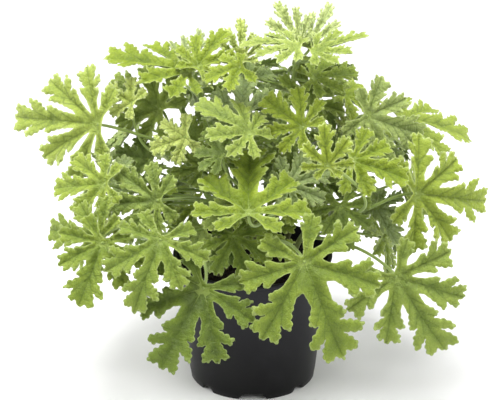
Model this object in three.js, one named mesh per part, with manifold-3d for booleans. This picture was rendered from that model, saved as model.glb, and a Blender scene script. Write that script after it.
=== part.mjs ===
// A scented geranium in a black nursery pot, in millimetres, +Z up.
// The origin is on the pot's axis at the surface that it stands on, and -Y is the front.
import * as THREE from 'three';
import { mergeVertices } from 'three/addons/utils/BufferGeometryUtils.js';
import Module from 'manifold-3d';

// Pot
const potHeight = 100;
const rimRadius = 60;
const baseRadius = 47.8;
const wallThickness = 1.5;
const lipWidth = 1.5;
const lipHeight = 3;
const footThickness = 1.9;
const floorRise = 5;
const potSegments = 36;
const wideNotch = { count: 4, firstTurn: 0, foot: 11.3, top: 6.7, height: 4.5 };
const narrowNotch = { count: 4, firstTurn: 45, foot: 5.4, top: 2.6, height: 3.4 };
const drainHole = { count: 4, firstTurn: 22.5, radius: 3.2, ring: 35 };

// Soil
const soilTop = 90;
const soilRoughness = 1.6;
const clearance = 0.3;
const soilSegments = 20;

// Leaf blades: a lens section, thickest along the ribs
const ribThickness = 1.5;
const bladeFold = 0.3;
const bladeCup = 0.1;
const bladeDroop = 0.3;
const closestLeaves = 0.4;

// Stems and leaf stalks
const stemRadius = 2.4;
const stemDepth = 15;
const stemHoleMargin = 1.4;
const stemSides = 5;
const stemSteps = 7;
const stemLean = 0.35;
const stalkRadius = 1.3;
const stalkSides = 3;
const stalkSteps = 4;
const stalkSlope = 0.35;
const stalkEase = 0.35;

const degrees = Math.PI / 180;
const wasm = await Module();
wasm.setup();

// One side of a lobe, from its neck to its tip, as [share of the lobe's length,
// share of the half sector that it fills, the rib point that its triangles fan from].
const deepCutSide = [[0.62, 0.72, 1], [0.8, 0.95, 1], [0.84, 0.7, 1], [0.74, 0.36, 1], [0.93, 0.34, 2]];
const cutSide = [[0.62, 0.72, 0], [0.8, 0.9, 0], [0.74, 0.36, 0], [0.93, 0.34, 1]];
const plainSide = [[0.8, 0.56, 1], [0.95, 0.34, 1]];
const bluntSide = [[0.45, 0.44, 0], [0.78, 0.6, 0], [0.93, 0.32, 1]];
const wingedSide = [[0.42, 0.5, 0], [0.74, 0.72, 0], [0.68, 0.36, 0], [0.92, 0.38, 1]];
const smallWingedSide = [[0.42, 0.5, 0], [0.74, 0.7, 0], [0.68, 0.34, 0], [0.92, 0.36, 0]];
const roundSide = [[0.45, 0.42, 0], [0.82, 0.56, 0]];
const endSide = [[0.84, 0.46, 0]];

// The lobes of a grown leaf, a small one and a young one, from the middle lobe round to the stalk.
// gap is how far in the cut beyond the lobe comes, as a share of the leaf's size.
const grownLeaf = [
  { angle: 0, length: 1, ribs: [0.3, 0.56, 0.8], inner: deepCutSide, outer: deepCutSide, gap: 0.4 },
  { angle: 44, length: 0.78, ribs: [0.4, 0.74], inner: plainSide, outer: wingedSide, gap: 0.24 },
  { angle: 86, length: 0.67, ribs: [0.42, 0.76], inner: bluntSide, outer: wingedSide, gap: 0.22 },
  { angle: 128, length: 0.46, ribs: [0.5], inner: roundSide, outer: roundSide, gap: 0.1 },
];
const smallLeaf = [
  { angle: 0, length: 1, ribs: [0.42, 0.72], inner: cutSide, outer: cutSide, gap: 0.38 },
  { angle: 44, length: 0.78, ribs: [0.5], inner: endSide, outer: smallWingedSide, gap: 0.24 },
  { angle: 86, length: 0.66, ribs: [0.5], inner: endSide, outer: smallWingedSide, gap: 0.22 },
  { angle: 128, length: 0.46, ribs: [0.5], inner: endSide, outer: endSide, gap: 0.1 },
];
const youngLeaf = [
  { angle: 0, length: 1, ribs: [0.5], inner: roundSide, outer: roundSide, gap: 0.4 },
  { angle: 55, length: 0.8, ribs: [0.5], inner: endSide, outer: roundSide, gap: 0.3 },
  { angle: 112, length: 0.6, ribs: [0.5], inner: endSide, outer: endSide, gap: 0.14 },
];
const smallSize = 52;
const youngSize = 30;

// Each shoot: where its stem leaves the soil, its growing tip, and how far the stem rises before it leans.
const shoots = [
  { root: [-20, -8], tip: [-54, -12, 192], rise: 75 },
  { root: [-24, -24], tip: [-92, -56, 142], rise: 75 },
  { root: [-10, 8], tip: [-42, 12, 236], rise: 90 },
  { root: [2, 18], tip: [-6, 22, 243], rise: 95 },
  { root: [10, 0], tip: [33, 8, 256], rise: 95 },
  { root: [24, 10], tip: [66, 8, 184], rise: 75 },
  { root: [28, -14], tip: [74, -36, 150], rise: 70 },
  { root: [4, -22], tip: [22, -46, 168], rise: 65 },
  { root: [-16, 26], tip: [-58, 66, 200], rise: 80 },
  { root: [16, 32], tip: [52, 74, 205], rise: 80 },
];

// The leaves that the front shows. Places are as seen from the front and a little above, in mm from
// the middle of the plant: across, up, and toward the viewer. clock is the way the middle lobe points,
// in degrees from the right; lean tips it toward the viewer, and roll turns the blade about it.
const viewAngle = 23 * degrees;
const viewMiddle = 142;
const frontLeaves = [
  // Left
  { shoot: 0, at: [-110, 54, 48], clock: 174, lean: -8, roll: 0, size: 67, open: 0.82 },
  { shoot: 0, at: [-103, 12, 45], clock: 100, lean: -25, roll: 0, size: 32 },
  { shoot: 0, at: [-102, 8, 55], clock: 182, lean: -10, roll: 20, size: 40 },
  { shoot: 0, at: [-67, 0, 68], clock: 185, lean: 0, roll: 0, size: 44 },
  { shoot: 0, at: [-48, 45, 52], clock: 200, lean: 10, roll: 0, size: 27 },
  { shoot: 0, at: [-67, 66, 30], clock: 150, lean: -10, roll: 0, size: 46 },
  { shoot: 0, at: [-75, 29, 24], clock: 165, lean: 0, roll: 20, size: 28 },
  { shoot: 0, at: [-86, 70, 40], clock: 150, lean: 0, roll: 0, size: 22 },
  // Front left
  { shoot: 1, at: [-104, -26, 72], clock: 172, lean: -18, roll: 0, size: 44 },
  { shoot: 1, at: [-104, -33, 78], clock: 251, lean: 15, roll: 0, size: 48 },
  { shoot: 1, at: [-64, -30, 92], clock: 250, lean: 20, roll: 0, size: 52 },
  { shoot: 1, at: [-34, -60, 92], clock: 241, lean: 8, roll: 0, size: 64 },
  // Top left
  { shoot: 2, at: [-47, 90, 40], clock: 163, lean: 5, roll: 56, size: 60, open: 0.9 },
  { shoot: 2, at: [-50, 92, 0], clock: 66, lean: -10, roll: 30, size: 40, open: 0.6 },
  { shoot: 2, at: [-37, 88, 34], clock: 56, lean: -15, roll: -20, size: 38, open: 0.85 },
  { shoot: 2, at: [-35, 25, 32], clock: 110, lean: -10, roll: 0, size: 38 },
  // Top
  { shoot: 3, at: [-7, 101, 28], clock: 88, lean: 0, roll: 20, size: 33, open: 0.6 },
  { shoot: 3, at: [-5, 87, 12], clock: 25, lean: -30, roll: -20, size: 30 },
  { shoot: 3, at: [-9, 59, 48], clock: 85, lean: -25, roll: 0, size: 42 },
  { shoot: 3, at: [-9, 90, 56], clock: 192, lean: 10, roll: 40, size: 27 },
  { shoot: 3, at: [-7, 40, 66], clock: 142, lean: 0, roll: 45, size: 44 },
  { shoot: 3, at: [-28, 37, 6], clock: 60, lean: -10, roll: 0, size: 36 },
  // Top right
  { shoot: 4, at: [33, 112, 36], clock: 118, lean: 5, roll: 20, size: 36, open: 0.58 },
  { shoot: 4, at: [38, 112, 36], clock: 66, lean: 5, roll: -20, size: 36, open: 0.58 },
  { shoot: 4, at: [30, 102, 66], clock: 165, lean: 0, roll: 58, size: 42, open: 0.75 },
  { shoot: 4, at: [43, 103, 64], clock: 22, lean: 0, roll: -55, size: 40, open: 0.75 },
  { shoot: 4, at: [40, 74, 48], clock: 62, lean: -10, roll: 0, size: 42, open: 0.85 },
  { shoot: 4, at: [36, 51, 54], clock: 142, lean: -10, roll: 0, size: 38 },
  { shoot: 4, at: [28, 43, 29], clock: 165, lean: 0, roll: 0, size: 34 },
  { shoot: 4, at: [47, 77, 30], clock: 18, lean: 5, roll: -40, size: 34 },
  // Right
  { shoot: 5, at: [81, 60, 48], clock: -18, lean: -12, roll: 0, size: 47 },
  { shoot: 5, at: [109, 59, 10], clock: -4, lean: -8, roll: -50, size: 56, open: 0.9 },
  { shoot: 5, at: [59, 48, 10], clock: 88, lean: -10, roll: 0, size: 30 },
  { shoot: 5, at: [70, 24, 54], clock: -18, lean: 8, roll: -20, size: 42 },
  { shoot: 5, at: [72, 22, 20], clock: 65, lean: -10, roll: 0, size: 33 },
  // Front right
  { shoot: 6, at: [113, 5, 36], clock: -5, lean: -18, roll: 0, size: 63 },
  { shoot: 6, at: [101, -54, 56], clock: -57, lean: -4, roll: 0, size: 66 },
  { shoot: 6, at: [93, -5, -20], clock: -60, lean: 0, roll: 0, size: 34 },
  { shoot: 6, at: [63, -4, 30], clock: -80, lean: 0, roll: 0, size: 34 },
  { shoot: 6, at: [51, 22, 84], clock: 95, lean: -10, roll: 0, size: 30 },
  // Front
  { shoot: 7, at: [-3, -6, 94], clock: 90, lean: -42, roll: 0, size: 68 },
  { shoot: 7, at: [35, -42, 98], clock: -67, lean: 5, roll: 0, size: 73, open: 1.12 },
  { shoot: 7, at: [25, 11, 70], clock: 20, lean: 0, roll: 0, size: 36 },
  { shoot: 7, at: [-17, 24, 56], clock: 120, lean: -30, roll: 0, size: 42 },
  { shoot: 7, at: [27, 23, 42], clock: 90, lean: -10, roll: 0, size: 25 },
  { shoot: 7, at: [-13, -27, 50], clock: 288, lean: 20, roll: 0, size: 38 },
];

// The other leaves fill the back and the sides of the crown, spread by the golden ratio.
const backLeaves = 24;
const crownMiddle = [0, 14, 148];
const crownReach = [106, 98, 88];
const backSpread = 215;
const goldenRatio = 0.618034;
const lowestBackLeaf = -22;
const highestBackLeaf = 72;
const backLeafSize = { middle: 50, range: 14 };
const backLeafTurn = 50;
const backLeafTwist = 24;

// A leaf that would cross another is lifted along its own face, then tilted, then made smaller.
const lifts = [0, 5, -5, 10, -10, 16, -16];
const tilts = [0, 14, -14, 28, -28];
const shrinks = [1, 0.85, 0.72];
const stalkBends = [0, 10, -10, 20, -20];

// A random number from 0 to 1 that depends on the seed alone.
function draw(seed) {
  const wave = Math.sin(seed * 127.1 + 311.7) * 43758.5453;
  return wave - Math.floor(wave);
}

function spread(seed, range) {
  return (draw(seed) * 2 - 1) * range;
}

function solidOf(geometry) {
  const bare = geometry.clone();
  bare.deleteAttribute('normal');
  bare.deleteAttribute('uv');
  const merged = mergeVertices(bare, 1e-4);
  const mesh = new wasm.Mesh({
    numProp: 3,
    vertProperties: new Float32Array(merged.attributes.position.array),
    triVerts: new Uint32Array(merged.index.array),
  });
  return new wasm.Manifold(mesh);
}

function geometryOf(solid) {
  const mesh = solid.getMesh();
  const geometry = new THREE.BufferGeometry();
  geometry.setAttribute('position', new THREE.BufferAttribute(mesh.vertProperties, 3));
  geometry.setIndex(new THREE.BufferAttribute(mesh.triVerts, 1));
  return geometry;
}

function ringOfPlaces(count, firstTurn) {
  return Array.from({ length: count }, (_, i) => (firstTurn + (i * 360) / count) * degrees);
}

// A point seen from the front becomes one in the part's own frame.
function fromView([across, up, toward]) {
  const sin = Math.sin(viewAngle);
  const cos = Math.cos(viewAngle);
  return new THREE.Vector3(across, up * sin - toward * cos, up * cos + toward * sin);
}

// Pot

function lathe(profile, segments) {
  const points = profile.map(([radius, height]) => new THREE.Vector2(radius, height));
  return new THREE.LatheGeometry(points, segments).rotateX(Math.PI / 2);
}

function innerRadius(height) {
  const top = rimRadius - lipWidth;
  return baseRadius + ((top - baseRadius) * height) / potHeight - wallThickness;
}

// A cutter for one notch of the foot, a trapezium pushed out through the wall.
function notchCutter(notch, turn) {
  const outline = new THREE.Shape([
    new THREE.Vector2(-notch.foot, -1),
    new THREE.Vector2(notch.foot, -1),
    new THREE.Vector2(notch.top, notch.height),
    new THREE.Vector2(-notch.top, notch.height),
  ]);
  const depth = 14;
  const cutter = new THREE.ExtrudeGeometry(outline, { depth, bevelEnabled: false });
  cutter.rotateX(Math.PI / 2);
  cutter.translate(0, -(baseRadius - depth / 2), 0);
  return cutter.rotateZ(turn);
}

function makePot() {
  const top = rimRadius - lipWidth;
  const floorTop = floorRise + wallThickness;
  const lipFoot = potHeight - lipHeight;
  const profile = [
    [0, floorRise],
    [baseRadius - footThickness + 0.5, floorRise],
    [baseRadius - footThickness, 0],
    [baseRadius, 0],
    [top, lipFoot],
    [rimRadius, lipFoot + 0.3],
    [rimRadius, potHeight - 0.7],
    [rimRadius - 0.7, potHeight],
    [innerRadius(potHeight) + 0.5, potHeight],
    [innerRadius(potHeight), potHeight - 0.8],
    [innerRadius(floorTop), floorTop],
    [0, floorTop],
  ];
  const body = solidOf(lathe(profile, potSegments));
  const notches = [wideNotch, narrowNotch].flatMap((notch) => (
    ringOfPlaces(notch.count, notch.firstTurn).map((turn) => solidOf(notchCutter(notch, turn)))
  ));
  const holes = ringOfPlaces(drainHole.count, drainHole.firstTurn).map((turn) => {
    const cutter = new THREE.CylinderGeometry(drainHole.radius, drainHole.radius, 8, 8);
    cutter.rotateX(Math.PI / 2);
    cutter.translate(drainHole.ring * Math.cos(turn), drainHole.ring * Math.sin(turn), floorRise);
    return solidOf(cutter);
  });
  return body.subtract(wasm.Manifold.union([...notches, ...holes]));
}

// Soil

function soilHeight(x, y) {
  const coarse = Math.sin(x * 0.11 + 1.3) * Math.cos(y * 0.13 + 0.4);
  const fine = Math.sin(x * 0.31 + y * 0.17) * Math.cos(y * 0.29 - x * 0.12);
  return soilTop + soilRoughness * (coarse + 0.6 * fine);
}

// The soil fills the pot, and has a plain hole for each stem.
function makeSoil() {
  const floor = floorRise + wallThickness + clearance;
  const inside = (height) => innerRadius(height) * Math.cos(Math.PI / potSegments) - clearance;
  const profile = [[0, floor], [inside(floor), floor], [inside(soilTop - 4), soilTop - 4]];
  for (const share of [0.84, 0.66, 0.46, 0.24, 0]) {
    profile.push([inside(soilTop) * share, soilTop]);
  }
  const geometry = lathe(profile, soilSegments);
  const position = geometry.attributes.position;
  for (let i = 0; i < position.count; i += 1) {
    if (position.getZ(i) > soilTop - 1) {
      position.setZ(i, soilHeight(position.getX(i), position.getY(i)));
    }
  }
  const holes = shoots.map(({ root }) => {
    const radius = stemRadius + stemHoleMargin;
    const bottom = soilTop - stemDepth - clearance;
    const cutter = new THREE.CylinderGeometry(radius, radius, 40, 8).rotateX(Math.PI / 2);
    return solidOf(cutter.translate(root[0], root[1], bottom + 20));
  });
  return solidOf(geometry).subtract(wasm.Manifold.union(holes));
}

// Stems and leaf stalks

function stemCurve({ root, tip, rise }) {
  const start = new THREE.Vector3(root[0], root[1], soilTop - stemDepth);
  const end = new THREE.Vector3(...tip);
  const straight = start.clone().setZ(start.z + rise);
  const bend = end.clone().lerp(start, stemLean);
  bend.z = end.z - (end.z - soilTop) * stemLean;
  return new THREE.CubicBezierCurve3(start, straight, bend, end);
}

function tube(curve, radius, sides, steps) {
  const corners = ringOfPlaces(sides, 0).map((turn) => (
    new THREE.Vector2(radius * Math.cos(turn), radius * Math.sin(turn))
  ));
  const section = new THREE.Shape(corners);
  return new THREE.ExtrudeGeometry(section, { steps, extrudePath: curve, bevelEnabled: false });
}

// The stalk leaves its stem where it rises to the leaf at an easy slope.
function stalkRoot(stem, leaf) {
  let best = null;
  for (let share = 0.3; share < 0.98; share += 0.04) {
    const point = stem.getPoint(share);
    const away = leaf.at.clone().sub(point);
    const misfit = Math.abs(away.z - stalkSlope * away.length());
    if (best === null || misfit < best.misfit) {
      best = { misfit, point, along: stem.getTangent(share) };
    }
  }
  return best;
}

// The stalk leaves along its stem and outward, and comes to the blade from behind and below.
function stalkCurve(stem, leaf, bend) {
  const { point, along } = stalkRoot(stem, leaf);
  const end = leaf.at.clone().addScaledVector(leaf.face, 0.3);
  const ease = end.distanceTo(point) * stalkEase;
  const out = end.clone().sub(point).setZ(0).normalize();
  const leave = along.clone().multiplyScalar(0.7).add(out).normalize();
  const arrive = leaf.ahead.clone().multiplyScalar(0.6).addScaledVector(leaf.face, 0.8).normalize();
  const first = point.clone().addScaledVector(leave, ease).addScaledVector(leaf.side, bend);
  const second = end.clone().addScaledVector(arrive, -ease).addScaledVector(leaf.side, bend);
  return new THREE.CubicBezierCurve3(point, first, second, end);
}

// Leaf blades

// The lobes all round, from one side of the stalk to the other, with a little of their own in each leaf.
function lobesOf(leaf) {
  const half = leaf.size < youngSize ? youngLeaf : leaf.size < smallSize ? smallLeaf : grownLeaf;
  const lobes = [];
  for (let rank = 1 - half.length; rank < half.length; rank += 1) {
    const lobe = half[Math.abs(rank)];
    const seed = leaf.seed * 17 + rank;
    const turn = (Math.sign(rank) * lobe.angle + (rank === 0 ? 0 : spread(seed + 0.1, 4))) * leaf.open;
    const length = lobe.length * (1 + (rank === 0 ? 0 : spread(seed + 0.2, 0.09)));
    lobes.push({ ...lobe, rank, turn: turn * degrees, length });
  }
  return lobes;
}

// The blade as points and triangles in its own plane: each point has its distance from the middle in
// leaf sizes, its direction, how far it is turned from its rib, and whether it lies on a rib.
function bladeNet(leaf) {
  const lobes = lobesOf(leaf);
  const points = [];
  const triangles = [];
  const add = (radius, turn, fromRib, onRib) => points.push({ radius, turn, fromRib, onRib }) - 1;
  const middle = add(0, 0, 0, true);
  const stalkCut = add(lobes[0].gap, Math.PI, 0.8, false);
  const cuts = [stalkCut];
  lobes.slice(1).forEach((lobe, i) => {
    const before = lobes[i];
    const { gap } = Math.abs(before.rank) < Math.abs(lobe.rank) ? before : lobe;
    const turn = (before.turn + lobe.turn) / 2;
    cuts.push(add(gap, turn, lobe.turn - turn, false));
  });
  cuts.push(stalkCut);

  // Both faces of a triangle are wound the same way, whichever side of the rib it is on.
  const fan = (way, rib, from, to) => triangles.push(way > 0 ? [rib, from, to] : [rib, to, from]);
  lobes.forEach((lobe, i) => {
    const ribs = [middle];
    lobe.ribs.forEach((share) => ribs.push(add(share * lobe.length, lobe.turn, 0, true)));
    const tip = add(lobe.length, lobe.turn, 0, false);
    for (const way of [-1, 1]) {
      let last = cuts[way < 0 ? i : i + 1];
      let rib = 0;
      const cutTurn = last === stalkCut ? way * Math.PI : points[last].turn;
      const half = Math.abs(cutTurn - lobe.turn);
      const side = way * lobe.rank < 0 ? lobe.inner : lobe.outer;
      const edge = side.map(([share, fill, from]) => (
        [add(share * lobe.length, lobe.turn + way * fill * half, fill * half, false), from + 1]
      ));
      edge.push([tip, lobe.ribs.length]);
      for (const [point, from] of edge) {
        for (; rib < from; rib += 1) {
          fan(way, ribs[rib], last, ribs[rib + 1]);
        }
        fan(way, ribs[rib], last, point);
        last = point;
      }
    }
  });
  return { points, triangles };
}

// A point of the blade in the part's frame. It rises from the nearest rib in a shallow V, and the blade
// cups near its middle and droops to its ends.
function bladePoint(leaf, { radius, turn, fromRib }, thickness) {
  const fold = bladeFold * radius * Math.abs(Math.sin(fromRib));
  const arch = bladeCup * radius - leaf.droop * radius * radius;
  return leaf.at.clone()
    .addScaledVector(leaf.side, leaf.size * radius * Math.sin(turn))
    .addScaledVector(leaf.ahead, leaf.size * radius * Math.cos(turn))
    .addScaledVector(leaf.face, leaf.size * (fold + arch) + thickness);
}

// The blade as a closed lens: its faces meet at the cut edge, and every triangle reaches a rib.
function bladeGeometry(leaf) {
  const { points, triangles } = bladeNet(leaf);
  const corners = points.map((point) => bladePoint(leaf, point, point.onRib ? ribThickness / 2 : 0));
  const under = points.map((point, i) => {
    if (!point.onRib) {
      return i;
    }
    return corners.push(bladePoint(leaf, point, -ribThickness / 2)) - 1;
  });
  const geometry = new THREE.BufferGeometry().setFromPoints(corners);
  const faces = triangles.flatMap(([a, b, c]) => [a, b, c, under[a], under[c], under[b]]);
  return geometry.setIndex(faces);
}

// Places of the leaves

function leafAt(shoot, at, ahead, face, size, seed, open) {
  const side = ahead.clone().cross(face);
  const droop = bladeDroop * (1 + spread(seed + 0.5, 0.4));
  return { shoot, at, ahead, face, side, size, seed, open, droop };
}

// The direction as near to the wished one as the other allows at a right angle.
function squared(wished, other) {
  return wished.clone().addScaledVector(other, -wished.dot(other)).normalize();
}

function frontLeaf({ shoot, at, clock, lean, roll, size, open = 1 }, seed) {
  const level = Math.cos(lean * degrees);
  const across = level * Math.cos(clock * degrees);
  const up = level * Math.sin(clock * degrees);
  const ahead = fromView([across, up, Math.sin(lean * degrees)]);
  const face = squared(fromView([0, 0, 1]), ahead).applyAxisAngle(ahead, roll * degrees);
  const place = fromView(at).add(new THREE.Vector3(0, 0, viewMiddle));
  return leafAt(shoot, place, ahead, face, size, seed, open);
}

// Its face looks away from the crown's middle and a little up, and its middle lobe points outward.
function backLeaf(i) {
  const seed = 100 + i;
  const around = (90 + (((i * goldenRatio) % 1) - 0.5) * backSpread) * degrees;
  const share = (i + 0.5) / backLeaves;
  const above = (lowestBackLeaf + (highestBackLeaf - lowestBackLeaf) * share) * degrees;
  const out = new THREE.Vector3(Math.cos(around), Math.sin(around), 0);
  const away = out.clone().multiplyScalar(Math.cos(above)).setZ(Math.sin(above));
  const at = new THREE.Vector3(...crownReach).multiply(away).add(new THREE.Vector3(...crownMiddle));
  const face = away.clone().add(new THREE.Vector3(0, 0, 0.9)).normalize();
  face.applyAxisAngle(out, spread(seed + 0.3, backLeafTwist) * degrees);
  const ahead = squared(out, face).applyAxisAngle(face, spread(seed + 0.4, backLeafTurn) * degrees);
  const size = backLeafSize.middle + spread(seed + 0.6, backLeafSize.range);
  return leafAt(nearestShoot(at), at, ahead, face, size, seed, 1);
}

function nearestShoot(at) {
  const distances = shoots.map(({ tip }) => at.distanceTo(new THREE.Vector3(...tip)));
  return distances.indexOf(Math.min(...distances));
}

function moved(leaf, lift, tilt, shrink) {
  const turn = tilt * degrees;
  const ahead = leaf.ahead.clone().multiplyScalar(Math.cos(turn)).addScaledVector(leaf.face, Math.sin(turn));
  const face = leaf.face.clone().multiplyScalar(Math.cos(turn)).addScaledVector(leaf.ahead, -Math.sin(turn));
  const at = leaf.at.clone().addScaledVector(leaf.face, lift);
  return { ...leaf, at, ahead, face, size: leaf.size * shrink };
}

function* placesOf(leaf) {
  for (const shrink of shrinks) {
    for (const tilt of tilts) {
      for (const lift of lifts) {
        yield moved(leaf, lift, tilt, shrink);
      }
    }
  }
}

// Growing: each leaf takes the first of its places that is clear of everything grown before it.

function isClear(solid, others) {
  const box = solid.boundingBox();
  const isNear = (other) => [0, 1, 2].every((axis) => (
    box.min[axis] - closestLeaves < other.box.max[axis]
    && box.max[axis] + closestLeaves > other.box.min[axis]
  ));
  const gapTo = (other) => solid.minGap(other.solid, 2 * closestLeaves);
  return others.every((other) => !isNear(other) || gapTo(other) > closestLeaves);
}

function grow(leaf, stem, grown) {
  const forBlade = grown.filter((other) => !(other.kind === 'stem' && other.shoot === leaf.shoot));
  const forStalk = grown.filter((other) => other.kind === 'blade' || other.shoot !== leaf.shoot);
  for (const tried of placesOf(leaf)) {
    const blade = solidOf(bladeGeometry(tried));
    if (isClear(blade, forBlade)) {
      for (const bend of stalkBends) {
        const curve = stalkCurve(stem, tried, bend);
        const stalk = solidOf(tube(curve, stalkRadius, stalkSides, stalkSteps));
        if (isClear(stalk, forStalk)) {
          return { blade, stalk };
        }
      }
    }
  }
  return null;
}

function makeShoots(pot, soil) {
  const grown = [];
  const keep = (kind, shoot, solid) => grown.push({ kind, shoot, solid, box: solid.boundingBox() });
  const stems = shoots.map(stemCurve);
  keep('pot', -1, pot);
  keep('soil', -1, soil);
  stems.forEach((stem, i) => keep('stem', i, solidOf(tube(stem, stemRadius, stemSides, stemSteps))));
  const leaves = [
    ...frontLeaves.map((row, i) => frontLeaf(row, i + 1)),
    ...Array.from({ length: backLeaves }, (_, i) => backLeaf(i)),
  ];
  for (const leaf of leaves) {
    const found = grow(leaf, stems[leaf.shoot], grown);
    if (found) {
      keep('blade', leaf.shoot, found.blade);
      keep('stalk', leaf.shoot, found.stalk);
    }
  }
  return shoots.map((_, i) => (
    wasm.Manifold.union(grown.filter(({ shoot }) => shoot === i).map(({ solid }) => solid))
  ));
}

// The whole plant

const blackPlastic = new THREE.MeshStandardMaterial({ color: 0x26262b, roughness: 0.5, metalness: 0 });
const darkSoil = new THREE.MeshStandardMaterial({ color: 0x1b1512, roughness: 1, metalness: 0 });
const leafGreen = new THREE.MeshStandardMaterial({ color: 0x7d9a38, roughness: 0.7, metalness: 0 });

const plant = new THREE.Group();

function addNode(name, solid, material) {
  const mesh = new THREE.Mesh(geometryOf(solid), material);
  mesh.name = name;
  plant.add(mesh);
}

const pot = makePot();
const soil = makeSoil();
addNode('pot', pot, blackPlastic);
addNode('soil', soil, darkSoil);
makeShoots(pot, soil).forEach((shoot, i) => {
  addNode(`shoot_${String(i + 1).padStart(2, '0')}`, shoot, leafGreen);
});

export default plant;
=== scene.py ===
# A scented geranium in a black nursery pot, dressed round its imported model.
# Shapes are worked out in millimetres, as the solids are, and turned into metres as each mesh is made.
import math
from collections import namedtuple

import bmesh
import bpy
import numpy as np
from mathutils import Matrix, Vector, geometry, kdtree
from mathutils.bvhtree import BVHTree


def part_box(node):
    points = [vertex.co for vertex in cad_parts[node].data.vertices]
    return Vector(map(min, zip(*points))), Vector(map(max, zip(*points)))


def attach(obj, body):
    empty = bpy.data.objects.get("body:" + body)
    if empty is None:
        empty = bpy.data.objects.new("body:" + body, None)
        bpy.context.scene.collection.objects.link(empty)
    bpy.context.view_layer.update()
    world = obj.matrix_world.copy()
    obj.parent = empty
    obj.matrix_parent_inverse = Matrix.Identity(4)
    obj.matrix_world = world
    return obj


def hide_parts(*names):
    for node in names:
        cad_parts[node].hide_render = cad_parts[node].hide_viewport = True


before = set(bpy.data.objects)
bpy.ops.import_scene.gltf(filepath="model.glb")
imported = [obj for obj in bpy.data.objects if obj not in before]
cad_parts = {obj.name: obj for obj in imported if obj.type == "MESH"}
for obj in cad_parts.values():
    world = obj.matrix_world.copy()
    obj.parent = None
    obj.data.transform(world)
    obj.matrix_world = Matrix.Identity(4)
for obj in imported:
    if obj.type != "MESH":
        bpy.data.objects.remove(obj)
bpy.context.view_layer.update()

METRE = 0.001
DEGREES = math.pi / 180

# Sizes that the solids give
pot_high = Vector(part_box("pot")[1]) / METRE
POT_HEIGHT = pot_high.z
RIM_RADIUS = pot_high.x
BASE_RADIUS = 47.8
SOIL_TOP = 90
STEM_DEPTH = 15

# Leaf blades
BLADE_THICKNESS = 0.5
BLADE_FOLD = 0.3
BLADE_CUP = 0.1
BLADE_DROOP = 0.3
NET_STEP = 0.036
TOOTH_LENGTH = 0.07
SMALL_TOOTH = 1.45
TOOTH_HEIGHT = 0.3
SMALL_TOOTH_HEIGHT = 0.22
OUTLINE_STEPS = 5.5
OUTER_ROUNDING = 0.035
INNER_ROUNDING = 0.016
ROUNDING_POINTS = 7
CUT_BEND = -0.5

# A blade's relief in mm. A pair is the measure of a plain leaf and what a full ruffle adds to it.
RIB_DEPTH = (0.6, 0.35)
QUILT_HEIGHT = (1.15, 0.6)
EDGE_CURL = (0.35, 1.3)
CURL_REACH = (2.2, 1.5)
RIB_WIDTH = 0.8
VEIN_WIDTH = 0.7
VEIN_DEPTH_SHARE = 0.7
QUILT_WIDTH = 4

# A blade's soft forms, as shares of the leaf's size
FOLD_SOFTNESS = 0.05
RIB_VALLEY = 0.028
LOBE_LIFT = 0.05
LOBE_TWIST = 0.12
LOBE_SWAY = 0.012

# Stems and leaf stalks
STEM_RADIUS = 2.4
STEM_LEAN = 0.35
STEM_RINGS = 70
STEM_SIDES = 12
KNOT_SWELLING = 0.22
KNOT_LENGTH = 0.018
STALK_RADIUS = 1.25
STALK_RINGS = 28
STALK_SIDES = 8
STALK_ROOTS = (0.3, 0.98, 0.04)
SOLID_STALK_RADIUS = 1.3
STALK_SLOPE = 0.35
STALK_EASE = 0.35

# The short soft hairs of stems, stalks and leaf edges
HAIR_LENGTH = 0.8
HAIR_WIDTH = 0.1

# One side of a lobe, as its lobules from the neck to the tip. Each has its low shoulder, its tip, its
# high shoulder and the cut above it, as (share of the lobe's length, share of its half sector).
MIDDLE_SIDE = (
    ((0.42, 0.74), (0.56, 1.0), (0.61, 0.84), (0.6, 0.48)),
    ((0.7, 0.84), (0.81, 1.08), (0.85, 0.78), (0.75, 0.34)),
    ((0.85, 0.5), (0.95, 0.52), (0.965, 0.3), (0.92, 0.17)),
)
INNER_SIDE = (
    ((0.6, 0.74), (0.74, 0.94), (0.78, 0.76), (0.74, 0.38)),
    ((0.83, 0.56), (0.93, 0.58), (0.95, 0.36), (0.9, 0.2)),
)
OUTER_SIDE = (
    ((0.38, 0.68), (0.53, 0.98), (0.59, 0.82), (0.57, 0.44)),
    ((0.68, 0.82), (0.79, 1.04), (0.83, 0.72), (0.73, 0.33)),
    ((0.84, 0.5), (0.94, 0.52), (0.955, 0.3), (0.91, 0.18)),
)
BLUNT_SIDE = (
    ((0.46, 0.72), (0.62, 0.96), (0.68, 0.8), (0.64, 0.42)),
    ((0.78, 0.66), (0.9, 0.68), (0.93, 0.42), (0.88, 0.22)),
)
BASAL_SIDE = (
    ((0.6, 0.8), (0.74, 0.96), (0.8, 0.78), (0.75, 0.5)),
    ((0.84, 0.68), (0.95, 0.62), (0.97, 0.38), (0.92, 0.2)),
)
NECK_RISE = 0.06
NECK_FILL = 0.74
NARROWEST_CUT = 2 * DEGREES
WIDEST_HALF_LOBE = 20.5 * DEGREES
WIDEST_SMALL_HALF_LOBE = 25 * DEGREES
SMALL_CUT_FILL = 0.25

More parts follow.
